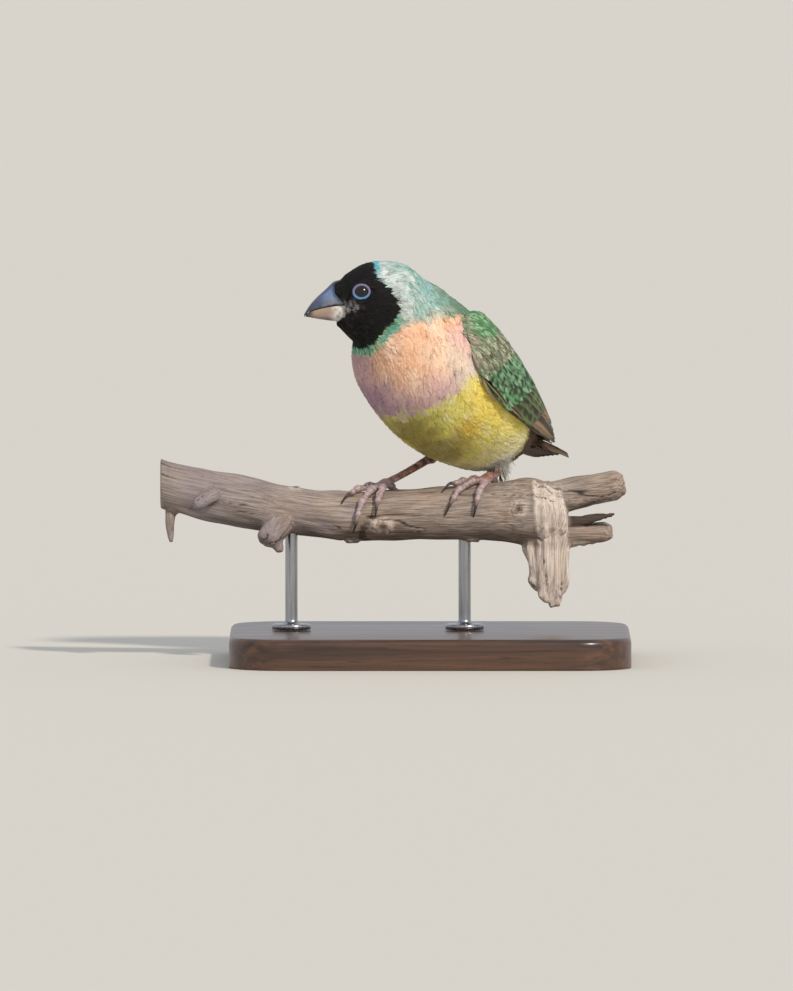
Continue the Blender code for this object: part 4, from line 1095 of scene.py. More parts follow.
def coat_piece(name, fields, look):
    """One piece of the coat from its fields of feathers, with its colours and its share of the bake map."""
    parts, tints, shading, places = [], [], [], []
    for roots, feathers, normals, colours in fields:
        count, steps = feathers.shape[:2]
        parts.append((feathers.reshape(-1, 3), feather_faces(count, steps)))
        tints.append(colours.reshape(-1, 3))
        shading.append(normals.reshape(-1, 3))
        patch = np.stack(np.meshgrid(np.linspace(-1, 1, steps), np.linspace(-1, 1, 3), indexing="ij"), -1)
        places.append((unwrap(roots)[:, None, None, :] + 0.0015 * patch[None]).reshape(-1, 2))
    piece = mesh_object(name, *joined(parts))
    colour_points(piece, np.concatenate(tints))
    map_points(piece, np.concatenate(places))
    piece.data.normals_split_custom_set_from_vertices(np.concatenate(shading))
    return place_piece(piece, look)


def coat_region(roots):
    """Which named piece of the coat each root belongs to."""
    head, body = into(HEAD, roots), into(BODY, roots)
    names = np.where(body[:, 0] > 8.0, "breast", np.where(body[:, 0] > -14.0, "belly", "vent")).astype(object)
    names[body[:, 2] > 4.0] = "back"
    names[(body[:, 2] > 4.0) & (body[:, 0] < -14.0)] = "rump"
    names[(neck_distance(roots) > 0) & (body[:, 0] > 14.0)] = "nape"
    names[mask_distance(roots) < 0] = "mask"
    on_head = mask_distance(roots) < 0
    left = np.where(on_head, head[:, 1], body[:, 1]) > 0
    return np.array([f"coat_{name}_{'left' if is_left else 'right'}" for name, is_left in zip(names, left)])


def build_coat(points, normals, triangles):
    look = plumage_look("plumage")
    surface = Surface(points, normals, triangles)
    draws = np.random.default_rng(3)
    pieces = {}
    for spacing, length, half_width, face_size, widths in COAT_LAYERS.values():
        roots = scatter(points, triangles, spacing, draws)
        roots = roots[~(bill_covers(roots) | wing_covers(roots) | eye_covers(roots))]
        small = 1 - (1 - face_size) * face_share(roots)
        roots, feathers, shading, shown = feather_field(
            surface, roots, length * small, half_width * small, widths, draws
        )
        tints = feather_tints(plumage_colours(shown), len(widths), draws)
        regions = coat_region(roots)
        for region in sorted(set(regions)):
            mine = regions == region
            pieces.setdefault(region, []).append((roots[mine], feathers[mine], shading[mine], tints[mine]))
    for region, fields in pieces.items():
        coat_piece(region, fields, look)


def build_down(points, normals):
    """White down that hangs loose round the top of the left shank."""
    draws = np.random.default_rng(9)
    hock = np.array(LEGS["left"]["hock"]) + (0.0, 0.0, PERCH_HEIGHT)
    near = np.flatnonzero(np.linalg.norm(points - hock - (0.0, 0.0, 2.6), axis=1) < 3.4)
    picked = draws.choice(near, DOWN_COUNT)
    roots, out = points[picked] - 0.3 * normals[picked], normals[picked]
    fall = unit(np.array([0.15, -0.3, -1.0]) + 0.55 * out + draws.normal(0, 0.22, (DOWN_COUNT, 3)))
    length = draws.uniform(0.5, 1.0, DOWN_COUNT) * DOWN_LENGTH
    curl = draws.normal(0, 0.35, (DOWN_COUNT, 3))
    stations, shading = [], []
    side = unit(np.cross(out, fall))
    for step in np.linspace(0, 1, 5):
        middle = roots + fall * (length * step)[:, None] + curl * (length * step**2)[:, None] * 0.4
        reach = side * (DOWN_HALF_WIDTH * (1 - 0.8 * step))
        crown = out * (DOWN_HALF_WIDTH * 0.5 * (1 - 0.8 * step))
        stations.append(np.stack([middle + reach - crown, middle + crown, middle - reach - crown], 1))
        shading.append(np.stack([out, out, out], 1))
    feathers, shading = np.stack(stations, 1), np.stack(shading, 1)
    tints = feather_tints(np.tile(HUES["vent_white"], (DOWN_COUNT, 1)), 5, draws)
    coat_piece("coat_down_left", [(points[picked], feathers, shading, tints)], plumage_look("down"))


def build_skin():
    points, quads = skin_arrays()
    skin = mesh_object("skin", points, [quads])
    # The skin under the coat carries the plumage colours darkened by a fifth: painted shade between the feathers.
    colour_points(skin, plumage_colours(points) * 0.8)
    map_points(skin, unwrap(points))
    place_piece(skin, plumage_look("skin"), FLESH)
    return mesh_arrays(skin.data)


# Flight feathers


def wing_points(station, angle, lift, side):
    """Points over the bed of a wing; side is 1 at the bird's left and -1 at its right."""
    width, top, bottom, middle = np.moveaxis(along(WING_BED, station), -1, 0)
    turn = np.radians(angle)
    height = np.where(np.sin(turn) > 0, top, bottom) + lift
    lean = LEAN * np.clip((station - LEAN_START) / (LEAN_END - LEAN_START), 0.0, 1.0) ** 2
    across = lean + side * (width + lift) * np.cos(turn)
    return out_of(BODY, np.stack([station, across, middle + height * np.sin(turn)], -1))


def core_lift(station, angle):
    """How far the outer face of a wing's core lies over the bed."""
    low, high, thick = np.moveaxis(along(WING_EDGES, np.clip(station, -43.0, 17.5)), -1, 0)
    across = np.minimum(1.0, np.abs(2 * (angle - low) / (high - low) - 1))
    return np.maximum(CORE_EDGE, thick * (1 - across**4))


def vane(place, length, half_width, bluntness, draws):
    """A feather's closed skin with u along it, v across it, and its barbs' own measure.

    place gives the points at a share u of its length, a distance across it and a height.
    """
    across_steps = np.linspace(-1, 1, VANE_COLUMNS)
    across_steps = np.sign(across_steps) * np.abs(across_steps) ** 1.4
    u, v = np.meshgrid(np.linspace(0, 1, VANE_STEPS) ** 0.85, across_steps, indexing="ij")
    width = half_width * (0.5 + 0.5 * smooth_step(u, 0.0, 0.3)) * np.sqrt(np.clip(1 - u**bluntness, 0.004, 1))
    nick = draws.uniform(0.84, 1.0, (VANE_STEPS, 2))[:, (across_steps > 0).astype(int)]
    across = v * width * nick ** (np.abs(v) ** 2)
    crown = 0.1 * half_width * (1 - v**2) + 0.07 * np.exp(-((v / 0.16) ** 2)) * (1 - u)
    half = 0.07 * (1 - 0.5 * v**2)
    rings = np.concatenate([place(u, across, crown + half), place(u, across, crown - half)[:, ::-1]], 1)
    points, faces = capped(rings)
    barbs = np.stack([u * length - 1.3 * np.abs(across), np.abs(across), np.full(u.shape, draws.uniform(0, 60))], -1)
    facts = [np.concatenate([sheet, sheet[:, ::-1]], 1) for sheet in (u, v)]
    barbs = np.concatenate([barbs, barbs[:, ::-1]], 1).reshape(-1, 3)
    u, v = (np.append(fact.ravel(), (fact.flat[0], fact.flat[-1])) for fact in facts)
    return points, faces, u, v, np.concatenate([barbs, barbs[[0, -1]]])


def feathered_piece(name, feathers, look, replaced):
    """One piece of several feathers, each a (points, faces, u, v, barbs, colours)."""
    points, faces = joined([(feather[0], feather[1]) for feather in feathers])
    piece = mesh_object(name, points, faces)
    store_vectors(piece, np.concatenate([feather[4] for feather in feathers]), "vane")
    colour_points(piece, np.concatenate([feather[5] for feather in feathers]))
    return place_piece(piece, look, replaced)


def wing_vane(tier, root, tip, half_width, height, sink, side, draws):
    """One feather along the bed, lowest at its upper edge, so that the next one up lies over it."""
    bluntness = TIER_BLUNTNESS[tier]

    def place(u, across, lift):
        station, angle = (low + (high - low) * u for low, high in zip(root, tip))
        radius = along(WING_BED, station)[..., :2].mean(-1)
        run = np.stack([np.full(u.shape, tip[0] - root[0]), np.radians(tip[1] - root[1]) * radius], -1)
        run = unit(run)
        station = station + run[..., 1] * across
        angle = angle - np.degrees(run[..., 0] * across / radius)
        tilt = VANE_TILT * across / half_width
        rise = height * np.minimum(1.0, 2 * u) - sink * (1 - u) ** 2 - tilt
        return wing_points(station, angle, core_lift(station, angle) + rise + lift, side)

    length = math.hypot(tip[0] - root[0], math.radians(tip[1] - root[1]) * 18.0)
    return vane(place, length, half_width, bluntness, draws)


def wing_colours(tier, t, u, v, points, draws):
    """A wing feather's colours; t, its place in its tier, is not used, and v is -1 at its lower edge."""
    centre, web, rim, rim_strength = TIER_HUES[tier]
    edge = np.abs(v) + 0.5 * smooth_step(u, 0.86, 1.0)
    flecks = mottle(points, 1.1, 85)
    colours = mix(HUES[centre], HUES[web], smooth_step(edge + 0.15 * flecks, 0.1, 0.5))
    if tier in ("primary", "secondary", "tertial", "alula"):
        outer = smooth_step(-v, 0.5, 0.78) * (1 - 0.4 * smooth_step(u, 0.8, 1.0))
        inner = 0.35 * smooth_step(v, 0.8, 1.0) * (tier != "alula")
        colours = mix(colours, HUES[rim], rim_strength * np.maximum(outer, inner))
    else:
        colours = mix(colours, HUES[rim], rim_strength * smooth_step(edge, 0.5, 0.95))
    if tier == "secondary":
        colours = mix(colours, HUES["tertial_edge"], 0.55 * smooth_step(flecks, 0.0, 0.9))
    if tier in ("greater_covert", "median_covert", "scapular"):
        colours = mix(colours, HUES["wing_mint"], draws.uniform(0.0, 0.7) * smooth_step(u + 0.3 * flecks, 0.3, 0.8))
        colours = mix(colours, HUES["wing_dark"], 0.6 * (1 - smooth_step(u + 0.2 * flecks, 0.25, 0.6)))
        # Mottled mint and dark patches: partly the coverts' own markings, partly painted glints and painted shade
        # between the feathers.
        colours = mix(colours, HUES["wing_mint"], 0.65 * smooth_step(flecks, 0.45, 1.1))
        colours = mix(colours, HUES["wing_dark"], 0.6 * smooth_step(-flecks, 0.45, 1.1))
    return colours * draws.uniform(0.75, 1.25)


def wing_core(side):
    """The wing's own body under its feathers, with a dark base colour as painted shade where it shows between them."""
    rings = []
    for station in np.linspace(WING_EDGES[0][0], WING_EDGES[-1][0], 30):
        low, high, _ = along(WING_EDGES, station)
        angles = np.linspace(low, high, 24)
        outer = wing_points(np.full(24, station), angles, core_lift(station, angles) - 0.25, side)
        inner = wing_points(np.full(24, station), angles, 0.05, side)
        rings.append(np.concatenate([outer, inner[::-1]]))
    return capped(np.array(rings))


def build_wing(side, word, look):
    """A folded wing: its core with every tier of feathers over it."""
    draws = np.random.default_rng(17 + side)
    name = "wing_" + word
    points, faces = wing_core(side)
    core = mesh_object(name + "_core", points, faces)
    station, angle, _, _ = wing_place(points)
    low = along(WING_EDGES, np.clip(station, -43.0, 17.5))[:, 0]
    # Painted shade: a dark base colour for the gaps between the feathers; the buff rim, the green and the grey are the
    # wing's own colours.
    colours = mix(HUES["wing_dark"], HUES["wing_umber"], 0.6)
    colours = mix(colours, HUES["back_green"], 0.8 * np.maximum(smooth_step(angle, 50.0, 56.0), smooth_step(station, -6.0, 0.0)))
    rim = 1 - smooth_step((angle - low) * DEGREE, 0.3, 0.8)
    colours = mix(colours, HUES["quill_buff"], 0.9 * rim * smooth_step(station, -6.0, -2.0) * (1 - smooth_step(station, 7.0, 9.0)))
    colour_points(core, mix(colours, HUES["wing_grey"], smooth_step(station, 8.0, 11.0)))
    place_piece(core, tinted_look(name + "_core", 1800.0, 0.05, 0.7), (name,))
    for tier, (rows, count, first_root, last_root, first_tip, last_tip, width, rises, step, sink) in WING_TIERS.items():
        feathers = []
        for row in range(rows):
            for i in range(count - row % 2):
                t = (i + 0.5 * (row % 2)) / (count - 1)
                shift = row * np.array(step)
                root = np.array(first_root) + (np.array(last_root) - first_root) * t + shift
                tip = np.array(first_tip) + (np.array(last_tip) - first_tip) * t + shift
                tip = tip + draws.uniform(-1, 1, 2) * (VANE_WAVER, 1.6)
                height = rises[0] + (rises[1] - rises[0]) * t - 0.12 * row + draws.uniform(-0.04, 0.04)
                girth = width * draws.uniform(0.9, 1.1)
                points, faces, u, v, barbs = wing_vane(tier, root, tip, girth, height, sink, side, draws)
                feathers.append((points, faces, u, v, barbs, wing_colours(tier, t, u, v, points, draws)))
        feathered_piece(f"{name}_{tier}_feathers", feathers, look, (name,))
    build_shoulder(side, name, draws)


def wing_lie(points, normals):
    """The direction of a wing's small coverts: back and slightly down."""
    lie = np.array([-1.0, 0.0, -0.22]) @ BODY[1]
    return unit(lie - normals * (normals @ lie)[:, None])


def shoulder_colours(points, draws):
    """Streaks of grey-brown and pale grey-green, and the body's own colours round the front and top."""
    station, angle, _, _ = wing_place(points)
    low, high, _ = np.moveaxis(along(WING_EDGES, np.clip(station, -43.0, 17.5)), -1, 0)
    pick = draws.uniform(0, 1, len(points)) + 0.3 * mottle(points, 1.6, 81)
    colours = mix(HUES["wing_umber"], HUES["wing_grey"], smooth_step(pick, 0.1, 0.45))
    colours = mix(colours, HUES["wing_pale"], smooth_step(pick, 0.55, 0.95))
    green = smooth_step(angle + 8 * mottle(points, 3.0, 82), 40.0, 54.0)
    green = np.maximum(green, 0.8 * (1 - smooth_step(station + 0.42 * angle + 1.5 * mottle(points, 2.0, 83), 8.0, 10.5)))
    greens = mix(HUES["back_green"], HUES["wing_mint"], smooth_step(pick, 0.5, 1.0))
    green = np.maximum(green, smooth_step(points[:, 2] + 0.8 * mottle(points, 2.0, 87), 86.4, 88.0))
    colours = mix(colours, greens, 0.85 * green)
    ragged = 0.7 * mottle(points, 1.3, 86) + draws.normal(0, 0.3, len(points))
    front = np.minimum((angle - low) * DEGREE, SHOULDER_FRONT - station) + ragged
    top = (high - angle) * DEGREE + ragged
    body = (1 - smooth_step(top, 0.3, 2.0)) * (1 - smooth_step(station, 11.0, 14.0))
    body = np.maximum(body, 0.25 * (1 - smooth_step(front, -0.3, 0.7)))
    return mix(colours, plumage_colours(points), body * smooth_step(station, -4.0, 6.0))


def build_shoulder(side, name, draws):
    """The small coverts over the front of a wing, as fine as the body's feathers."""
    stations, shares = np.meshgrid(np.linspace(SHOULDER_END, SHOULDER_FRONT, 70), np.linspace(0, 1, 40), indexing="ij")
    low, high, _ = np.moveaxis(along(WING_EDGES, np.minimum(stations, 17.5)), -1, 0)
    angles = low - SHOULDER_WRAP + (high - low + 2 * SHOULDER_WRAP) * shares
    inside = smooth_step(np.minimum(angles - low, high - angles), -SHOULDER_WRAP, 3.0)
    fade = inside * (1 - smooth_step(stations, 14.0, SHOULDER_FRONT))
    lift = (core_lift(stations, angles) + 0.4) * fade - 0.35
    points = wing_points(stations, angles, lift, side).reshape(-1, 3)
    quads = grid_faces(70, 40, closed=False)
    triangles = np.concatenate([quads[:, :3], quads[:, [0, 2, 3]]])
    corners = points[triangles]
    facets = np.cross(corners[:, 1] - corners[:, 0], corners[:, 2] - corners[:, 0])
    normals = np.zeros_like(points)
    for corner in range(3):
        np.add.at(normals, triangles[:, corner], facets)
    normals = unit(normals)
    if (normals * (points - BODY[0])).sum() < 0:
        normals = -normals
    surface = Surface(points, normals, triangles)
    fields = []
    for spacing, length, half_width, widths in SHOULDER_LAYERS.values():
        roots = scatter(points, triangles, spacing, draws)
        station, angle, _, _ = wing_place(roots)
        ragged = 1.2 * mottle(roots, 2.0, 84)
        roots = roots[station + ragged > SHOULDER_REAR + SHOULDER_SLOPE * angle]
        depth = lambda places: np.full(len(places), SHOULDER_DEPTH)
        roots, feathers, shading, _ = feather_field(
            surface, roots, length, half_width, widths, draws, wing_lie, depth
        )
        tints = feather_tints(shoulder_colours(roots, draws), len(widths), draws)
        fields.append((roots, feathers, shading, tints))
    coat_piece(name + "_small_coverts", fields, plumage_look(name + "_small_coverts"))
    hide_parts(name)


def build_tail(look):
    """Twelve closed tail feathers, the middle pair on top."""
    draws = np.random.default_rng(23)
    feathers = []
    for i in range(TAIL_FEATHERS):
        for side in (1, -1):
            tip = TAIL_TIP + TAIL_TIP_STEP * i
            slope = -side * (TAIL_ROOF[0] + TAIL_ROOF[1] * i)

            def place(u, across, lift):
                station = TAIL_ROOT + (tip - TAIL_ROOT) * u
                middle_across, middle_rise = np.moveaxis(along(TAIL_LINE, station), -1, 0)
                middle = side * (TAIL_START + TAIL_STEP * i * (0.7 + 0.5 * u))
                rise = -TAIL_DROP * (i + 0.4 * (side < 0)) + slope * across + lift
                return out_of(BODY, np.stack([station, middle_across + middle + across, middle_rise + rise], -1))

            points, faces, u, v, barbs = vane(place, TAIL_ROOT - tip, TAIL_HALF_WIDTH, 5.0, draws)
            colours = mix(HUES["tail_brown"], HUES["tail_dark"], smooth_step(u, 0.7, 1.0) * 0.5 + 0.25 * (np.abs(v) < 0.12))
            colours = mix(colours, HUES["quill_buff"], 0.25 * smooth_step(np.abs(v), 0.8, 1.0))
            feathers.append((points, faces, u, v, barbs, colours * draws.uniform(0.85, 1.12)))
    feathered_piece("tail_feathers", feathers, look, ("tail",))
    coverts = []
    for root, tip, across, rise in TAIL_COVERT_VANES:
        for side in (1, -1):

            def place(u, over, lift):
                station = root + (tip - root) * u
                middle_across, middle_rise = np.moveaxis(along(TAIL_LINE, np.maximum(station, -66.0)), -1, 0)
                out = side * across * (0.6 + 0.4 * u) + over
                height = rise * (1 - 0.75 * u) - 0.03 * out**2 + lift
                return out_of(BODY, np.stack([station, middle_across + out, middle_rise + height], -1))

            points, faces, u, v, barbs = vane(place, root - tip, TAIL_HALF_WIDTH, 3.5, draws)
            colours = mix(HUES["tail_brown"], HUES["wing_dark"], 0.5 * smooth_step(np.abs(v), 0.2, 0.8))
            coverts.append((points, faces, u, v, barbs, colours * draws.uniform(0.85, 1.15)))
    feathered_piece("tail_coverts", coverts, look, ("tail",))


# Bill and eyes


def bill_rings(rows, rounded, rings, sides, start, swell=0.0):
    """Sections of one half of the bill: rounded on its outer side, slightly arched at the mouth."""
    found = []
    turns = 2 * math.pi * np.arange(sides) / sides
    for station in start + (rows[-1][0] - start) * np.linspace(0, 1, rings) ** 0.9:
        width, upper, lower = along(rows, max(station, rows[0][0]))
        across, rise = np.cos(turns), np.sin(turns)
        mouth, outer, outwards = (lower, upper, rise > 0) if rounded else (upper, lower, rise < 0)
        depth = np.where(outwards, outer - mouth, abs(outer - mouth) * MOUTH_ARCH)
        ridge = np.abs(rise) ** 0.96
        ring = np.stack([np.full(sides, station), width * np.sign(across) * np.abs(across) ** 0.92, mouth + depth * ridge], -1)
        found.append(ring)
    return np.array(found)


def build_bill():
    """A stout cone in two halves, blue-grey above and paler below, with a nostril at each side."""
    look = tinted_look("bill", 900.0, 0.03, 0.36, 0.08, 0.25, Coat_Weight=0.25, Coat_Roughness=0.3)
    for name, rows, rounded, start in (("bill_upper", BILL_UPPER, True, 4.2), ("bill_lower", BILL_LOWER, False, 3.8)):
        rings = bill_rings(rows, rounded, 44, 64, start)
        local = rings.reshape(-1, 3)
        if rounded:
            for side in (1, -1):
                away = (local - (NOSTRIL_PLACE[0], side * NOSTRIL_PLACE[1], NOSTRIL_PLACE[2])) / NOSTRIL_RADIUS
                pit = np.exp(-(away**2).sum(1))
                local = local - pit[:, None] * np.array([0.0, side * NOSTRIL_DEPTH, 0.1])
        points, faces = capped(out_of(HEAD, local).reshape(rings.shape))
        piece = mesh_object(name + "_horn", points, faces)
        colour_points(piece, bill_colours(points, rounded))
        place_piece(piece, look, (name,))


def bill_colours(points, rounded):
    """Slate above with a blue side, pale grey and pink below, dark at the tip."""
    a, b, c = into(HEAD, points).T
    lumps, specks = mottle(points, 2.4, 41), mottle(points, 0.7, 42)
    if not rounded:
        colours = mix(HUES["bill_white"], HUES["bill_pink"], smooth_step(a + 0.5 * lumps, 8.2, 9.8))
        colours = mix(colours, HUES["bill_slate"], 0.55 * smooth_step(specks, 0.0, 1.2) * (1 - smooth_step(a, 8.4, 9.6)))
        colours = mix(colours, HUES["bill_slate"], 0.75 * smooth_step(-c, 5.0, 5.8) * smooth_step(a, 8.0, 10.0))
        colours = mix(colours, HUES["bill_straw"], 0.6 * smooth_step(a, 10.8, 12.0) * smooth_step(c, -4.6, -3.8))
        return mix(colours, HUES["bill_tip"], 0.9 * smooth_step(a + 0.4 * lumps, 13.0, 15.0))
    width, upper, lower = np.moveaxis(along(BILL_UPPER, np.clip(a, 6.4, 16.3)), -1, 0)
    height = np.clip((c - lower) / (upper - lower), 0, 1)
    middle = smooth_step(height, 0.2, 0.45) * (1 - smooth_step(height, 0.72, 0.95))
    blue = middle * (1 - smooth_step(a + 0.5 * lumps, 9.5, 13.5))
    colours = mix(HUES["bill_slate"], HUES["bill_blue"], blue)
    pale = (1 - smooth_step(height + 0.1 * lumps, 0.2, 0.55)) * (1 - smooth_step(a, 10.0, 13.0))
    colours = mix(colours, HUES["bill_grey"], (0.7 + 0.15 * specks) * pale)
    colours = mix(colours, HUES["bill_tip"], 0.8 * smooth_step(a + 0.5 * lumps, 13.0, 16.0))
    colours = mix(colours, HUES["bill_tip"], 0.6 * smooth_step(height, 0.85, 1.0))
    brow = smooth_step(height, 0.7, 0.9) * (1 - smooth_step(a + 0.2 * specks, 8.3, 8.9))
    colours = mix(colours, HUES["mask"], brow)
    for side in (1, -1):
        away = (into(HEAD, points) - (NOSTRIL_PLACE[0], side * NOSTRIL_PLACE[1], NOSTRIL_PLACE[2])) / NOSTRIL_RADIUS
        colours = mix(colours, HUES["mask"], 0.9 * np.exp(-1.6 * (away**2).sum(1)))
    return colours * (1 + 0.06 * specks[:, None])


def build_eye(side, word):
    """A dark glossy eye in its ring of small blue-grey beads, with painted shade between the beads."""
    facing = unit(np.array([LID_FACING[0], side * LID_FACING[1], LID_FACING[2]])) @ HEAD[1]
    ahead = unit(HEAD[1][0] - facing * (HEAD[1][0] @ facing))
    over = np.cross(ahead, facing) * -side
    centre = eye_centre(side)
    turns = 2 * math.pi * np.arange(48) / 48
    rings = []
    for polar in np.linspace(0.04, math.pi - 0.1, 40):
        radius, height = EYE_RADIUS * math.sin(polar), EYE_RADIUS * math.cos(polar)
        rings.append(centre + facing * height + radius * (np.cos(turns)[:, None] * ahead + np.sin(turns)[:, None] * over))
    points, faces = capped(np.array(rings))
    reach = np.linalg.norm((points - centre) - ((points - centre) @ facing)[:, None] * facing, axis=1)
    eye = mesh_object(f"eye_{word}_ball", points, faces)
    iris = mix(linear((0.02, 0.014, 0.012)), linear((0.07, 0.04, 0.03)), smooth_step(reach, PUPIL_RADIUS, PUPIL_RADIUS + 0.12))
    colour_points(eye, mix(iris, linear((0.015, 0.012, 0.012)), smooth_step(reach, IRIS_RADIUS - 0.1, IRIS_RADIUS + 0.1)))
    look = Look("eye_" + word, Roughness=0.1, Coat_Weight=1.0, Coat_Roughness=0.2)
    look.shader.inputs["Specular IOR Level"].default_value = 0.05
    look.colour(look.attribute("tint"))
    place_piece(eye, look.material, ("eye_" + word,))
    beads = 40
    rim = 2 * math.pi * np.arange(160) / 160
    rows = []
    for angle in 2 * math.pi * np.arange(16) / 16:
        swell = 1 + 0.16 * np.cos(beads * rim) * (math.sin(angle) > -0.2)
        out = LID_GIRTH * math.cos(angle) * swell
        up = 0.75 * LID_GIRTH * math.sin(angle) * swell
        middle = centre + facing * EYE_DEPTH
        ring = (LID_HALF_LENGTH + out)[:, None] * np.cos(rim)[:, None] * ahead
        ring = ring + (LID_HALF_HEIGHT + out)[:, None] * np.sin(rim)[:, None] * over
        rows.append(middle + ring + up[:, None] * facing)
    rows = np.array(rows)
    points = rows.reshape(-1, 3)
    faces = grid_faces(16, 160)
    wrap = np.stack([15 * 160 + np.arange(160), 15 * 160 + (np.arange(160) + 1) % 160, (np.arange(160) + 1) % 160, np.arange(160)], -1)
    lid = mesh_object(f"eye_{word}_lid", points, [np.concatenate([faces, wrap])])
    low = smooth_step(-(points - centre)[:, 2], -0.4, 1.2)
    # Painted shade in the grooves between the beads.
    painted_bead_shade = np.tile(0.78 + 0.22 * np.cos(beads * rim), 16)
    colour_points(lid, mix(HUES["lid_lilac"], HUES["lid_blue"], low) * painted_bead_shade[:, None])
    place_piece(lid, tinted_look("lid_" + word, 1500.0, 0.03, 0.45, 0.08, 0.3), ("eye_" + word,))


# Legs


def perch_points(x, angle, lift=0.0):
    """Points on or over the branch: angle 0 is its front and 90 its top."""
    height, radius = np.moveaxis(along(PERCH_AXIS, x), -1, 0)
    turn, reach = np.radians(angle), radius + lift
    return np.stack([x, -reach * np.cos(turn), PERCH_HEIGHT + height + reach * np.sin(turn)], -1)


def skin_tube(line, radii, sides, plates, top):
    """A limb's closed skin with plates on the side that faces a direction, and the painted shade of each point in the
    creases between its plates.
    """
    rings = swept(line, radii, sides)
    centre = rings.mean(1, keepdims=True)
    out = unit(rings - centre)
    front = smooth_step((out * top).sum(-1), -0.2, 0.4)
    share = np.linspace(0, plates, len(rings))[:, None] % 1.0
    size = np.linalg.norm(rings - centre, axis=-1)
    rings = centre + out * (size * (1 + 0.18 * (0.5 - share) * front))[..., None]
    # Painted shade in the creases between the plates, on their front side.
    shade = 1 - 0.45 * front * smooth_step(share, 0.6, 1.0)
    points, faces = capped(rings)
    return points, faces, np.append(shade.ravel(), (1.0, 1.0))


def build_leg(word, leg, skin, horn):
    """The bare shank, the foot with its four toes, and their claws."""
    hock = np.array([leg["hock"][0], leg["hock"][1], leg["hock"][2] + PERCH_HEIGHT])
    pad_radius = TOE_RADIUS * 1.3
    pad = perch_points(leg["foot"], 90.0, pad_radius + TOE_LIFT)
    down = unit(pad - hock)
    steps = np.linspace(0, 1, 40)
    bow = np.sin(math.pi * steps)[:, None] * np.cross(down, (0.0, 1.0, 0.0)) * 0.25
    line = (hock - down * 1.2) + (pad - hock + down * 1.2) * steps[:, None] + bow
    girths = TARSUS_RADIUS + (HOCK_RADIUS - TARSUS_RADIUS) * (1 - steps) ** 3 + 0.14 * steps**8
    sole = ball(pad, pad_radius, 14, 20)
    parts = [skin_tube(line, girths, 16, 11, np.array([-0.4, -0.9, 0.1])), (*sole, np.ones(len(sole[0])))]
    claws = []
    for toe, length in CLAW_LENGTHS.items():
        route = [(i, *row) for i, row in enumerate(leg[toe])]
        x, angle = np.moveaxis(along(route, np.linspace(0, 3, 46)), -1, 0)
        t = np.linspace(0, 1, 46)
        joints = 1 + 0.15 * np.cos(6 * math.pi * t)
        radii = (TOE_RADIUS + (TOE_TIP_RADIUS - TOE_RADIUS) * t) * joints
        radii[-3:] *= (0.96, 0.86, 0.6)
        line = perch_points(x, angle, radii + TOE_LIFT)
        line[0] = pad
        middle = np.array([0.0, 0.0, PERCH_HEIGHT])
        up = unit((line - middle) * (0, 1, 1)).mean(0)
        parts.append(skin_tube(line, radii, 14, 11, up))
        claws.append(claw(x, angle, length))
    points, faces = joined([part[:2] for part in parts])
    limb = mesh_object(f"leg_{word}_skin", points, faces)
    height = points[:, 2] - (PERCH_HEIGHT + 7.0)
    lumps, specks = mottle(points, 1.2, 51), mottle(points, 0.6, 52)
    colours = mix(HUES["leg_grey"], HUES["leg_red"], smooth_step(height + 0.7 * lumps, 1.6, 4.0))
    # Painted shadow: the top of each shank, under the belly, is darkened.
    colours = mix(colours, HUES["leg_dark_and_shadow"], 0.85 * smooth_step(height + 0.6 * lumps, 4.4, 6.4))
    colours = mix(colours, HUES["leg_grey"], 0.5 * smooth_step(specks, 0.2, 1.0))
    colours = mix(colours, HUES["leg_dark_and_shadow"], 0.55 * smooth_step(-specks - 0.4 * lumps, 0.3, 1.1))
    # The painted shade of the creases between plates darkens the colours.
    colour_points(limb, colours * np.concatenate([part[2] for part in parts])[:, None])
    place_piece(limb, skin, ("tarsus_" + word, "foot_" + word))
    points, faces = joined(claws)
    nails = mesh_object(f"claws_{word}_horn", points, faces)
    share = np.concatenate([np.append(np.repeat(np.linspace(0, 1, 18), 12), (0.0, 1.0)) for _ in claws])
    colour_points(nails, mix(HUES["claw_pale"], HUES["claw_dark"], smooth_step(share, 0.05, 0.4)))
    place_piece(nails, horn, tuple(f"claw_{word}_{toe}" for toe in CLAW_LENGTHS))


def claw(x, angle, length):
    """A claw that leaves the end of its toe, arches and comes back to the bark."""
    reach = along(PERCH_AXIS, x[-1])[1] + TOE_TIP_RADIUS + TOE_LIFT
    step = unit(np.array([x[-1] - x[-8], math.radians(angle[-1] - angle[-8]) * reach]))
    t = np.linspace(0, 1, 18)
    radius = CLAW_RADIUS + (CLAW_TIP_RADIUS - CLAW_RADIUS) * t**0.8
    run = -0.3 + TOE_TIP_RADIUS * 0.4 + (length + 0.6) * t
    arch = CLAW_ARCH * np.sin(math.pi * np.minimum(1, t * 1.1))
    lift = TOE_LIFT + TOE_TIP_RADIUS * (1 - t) + radius * t + arch
    line = perch_points(x[-1] + step[0] * run, angle[-1] + np.degrees(step[1] * run / reach), lift)
    return capped(swept(line, radius, 12))


# The branch


def twig_tube(rows, radii, depth):
    """A twig's closed skin through points of its middle line; depth is its depth along Y for its width."""
    table = [(i, *row, radius) for i, (row, radius) in enumerate(zip(rows, radii))]
    samples = along(table, np.linspace(0, len(rows) - 1, 24))
    samples[:, 3] *= 1 - 0.3 * smooth_step(np.linspace(0, 1, 24), 0.88, 1.0)
    line = samples[:, :3] + (0.0, 0.0, PERCH_HEIGHT)
    rings = swept(line, samples[:, 3], 24)
    rings[..., 1] = line[:, None, 1] + (rings[..., 1] - line[:, None, 1]) * depth
    return capped(rings)


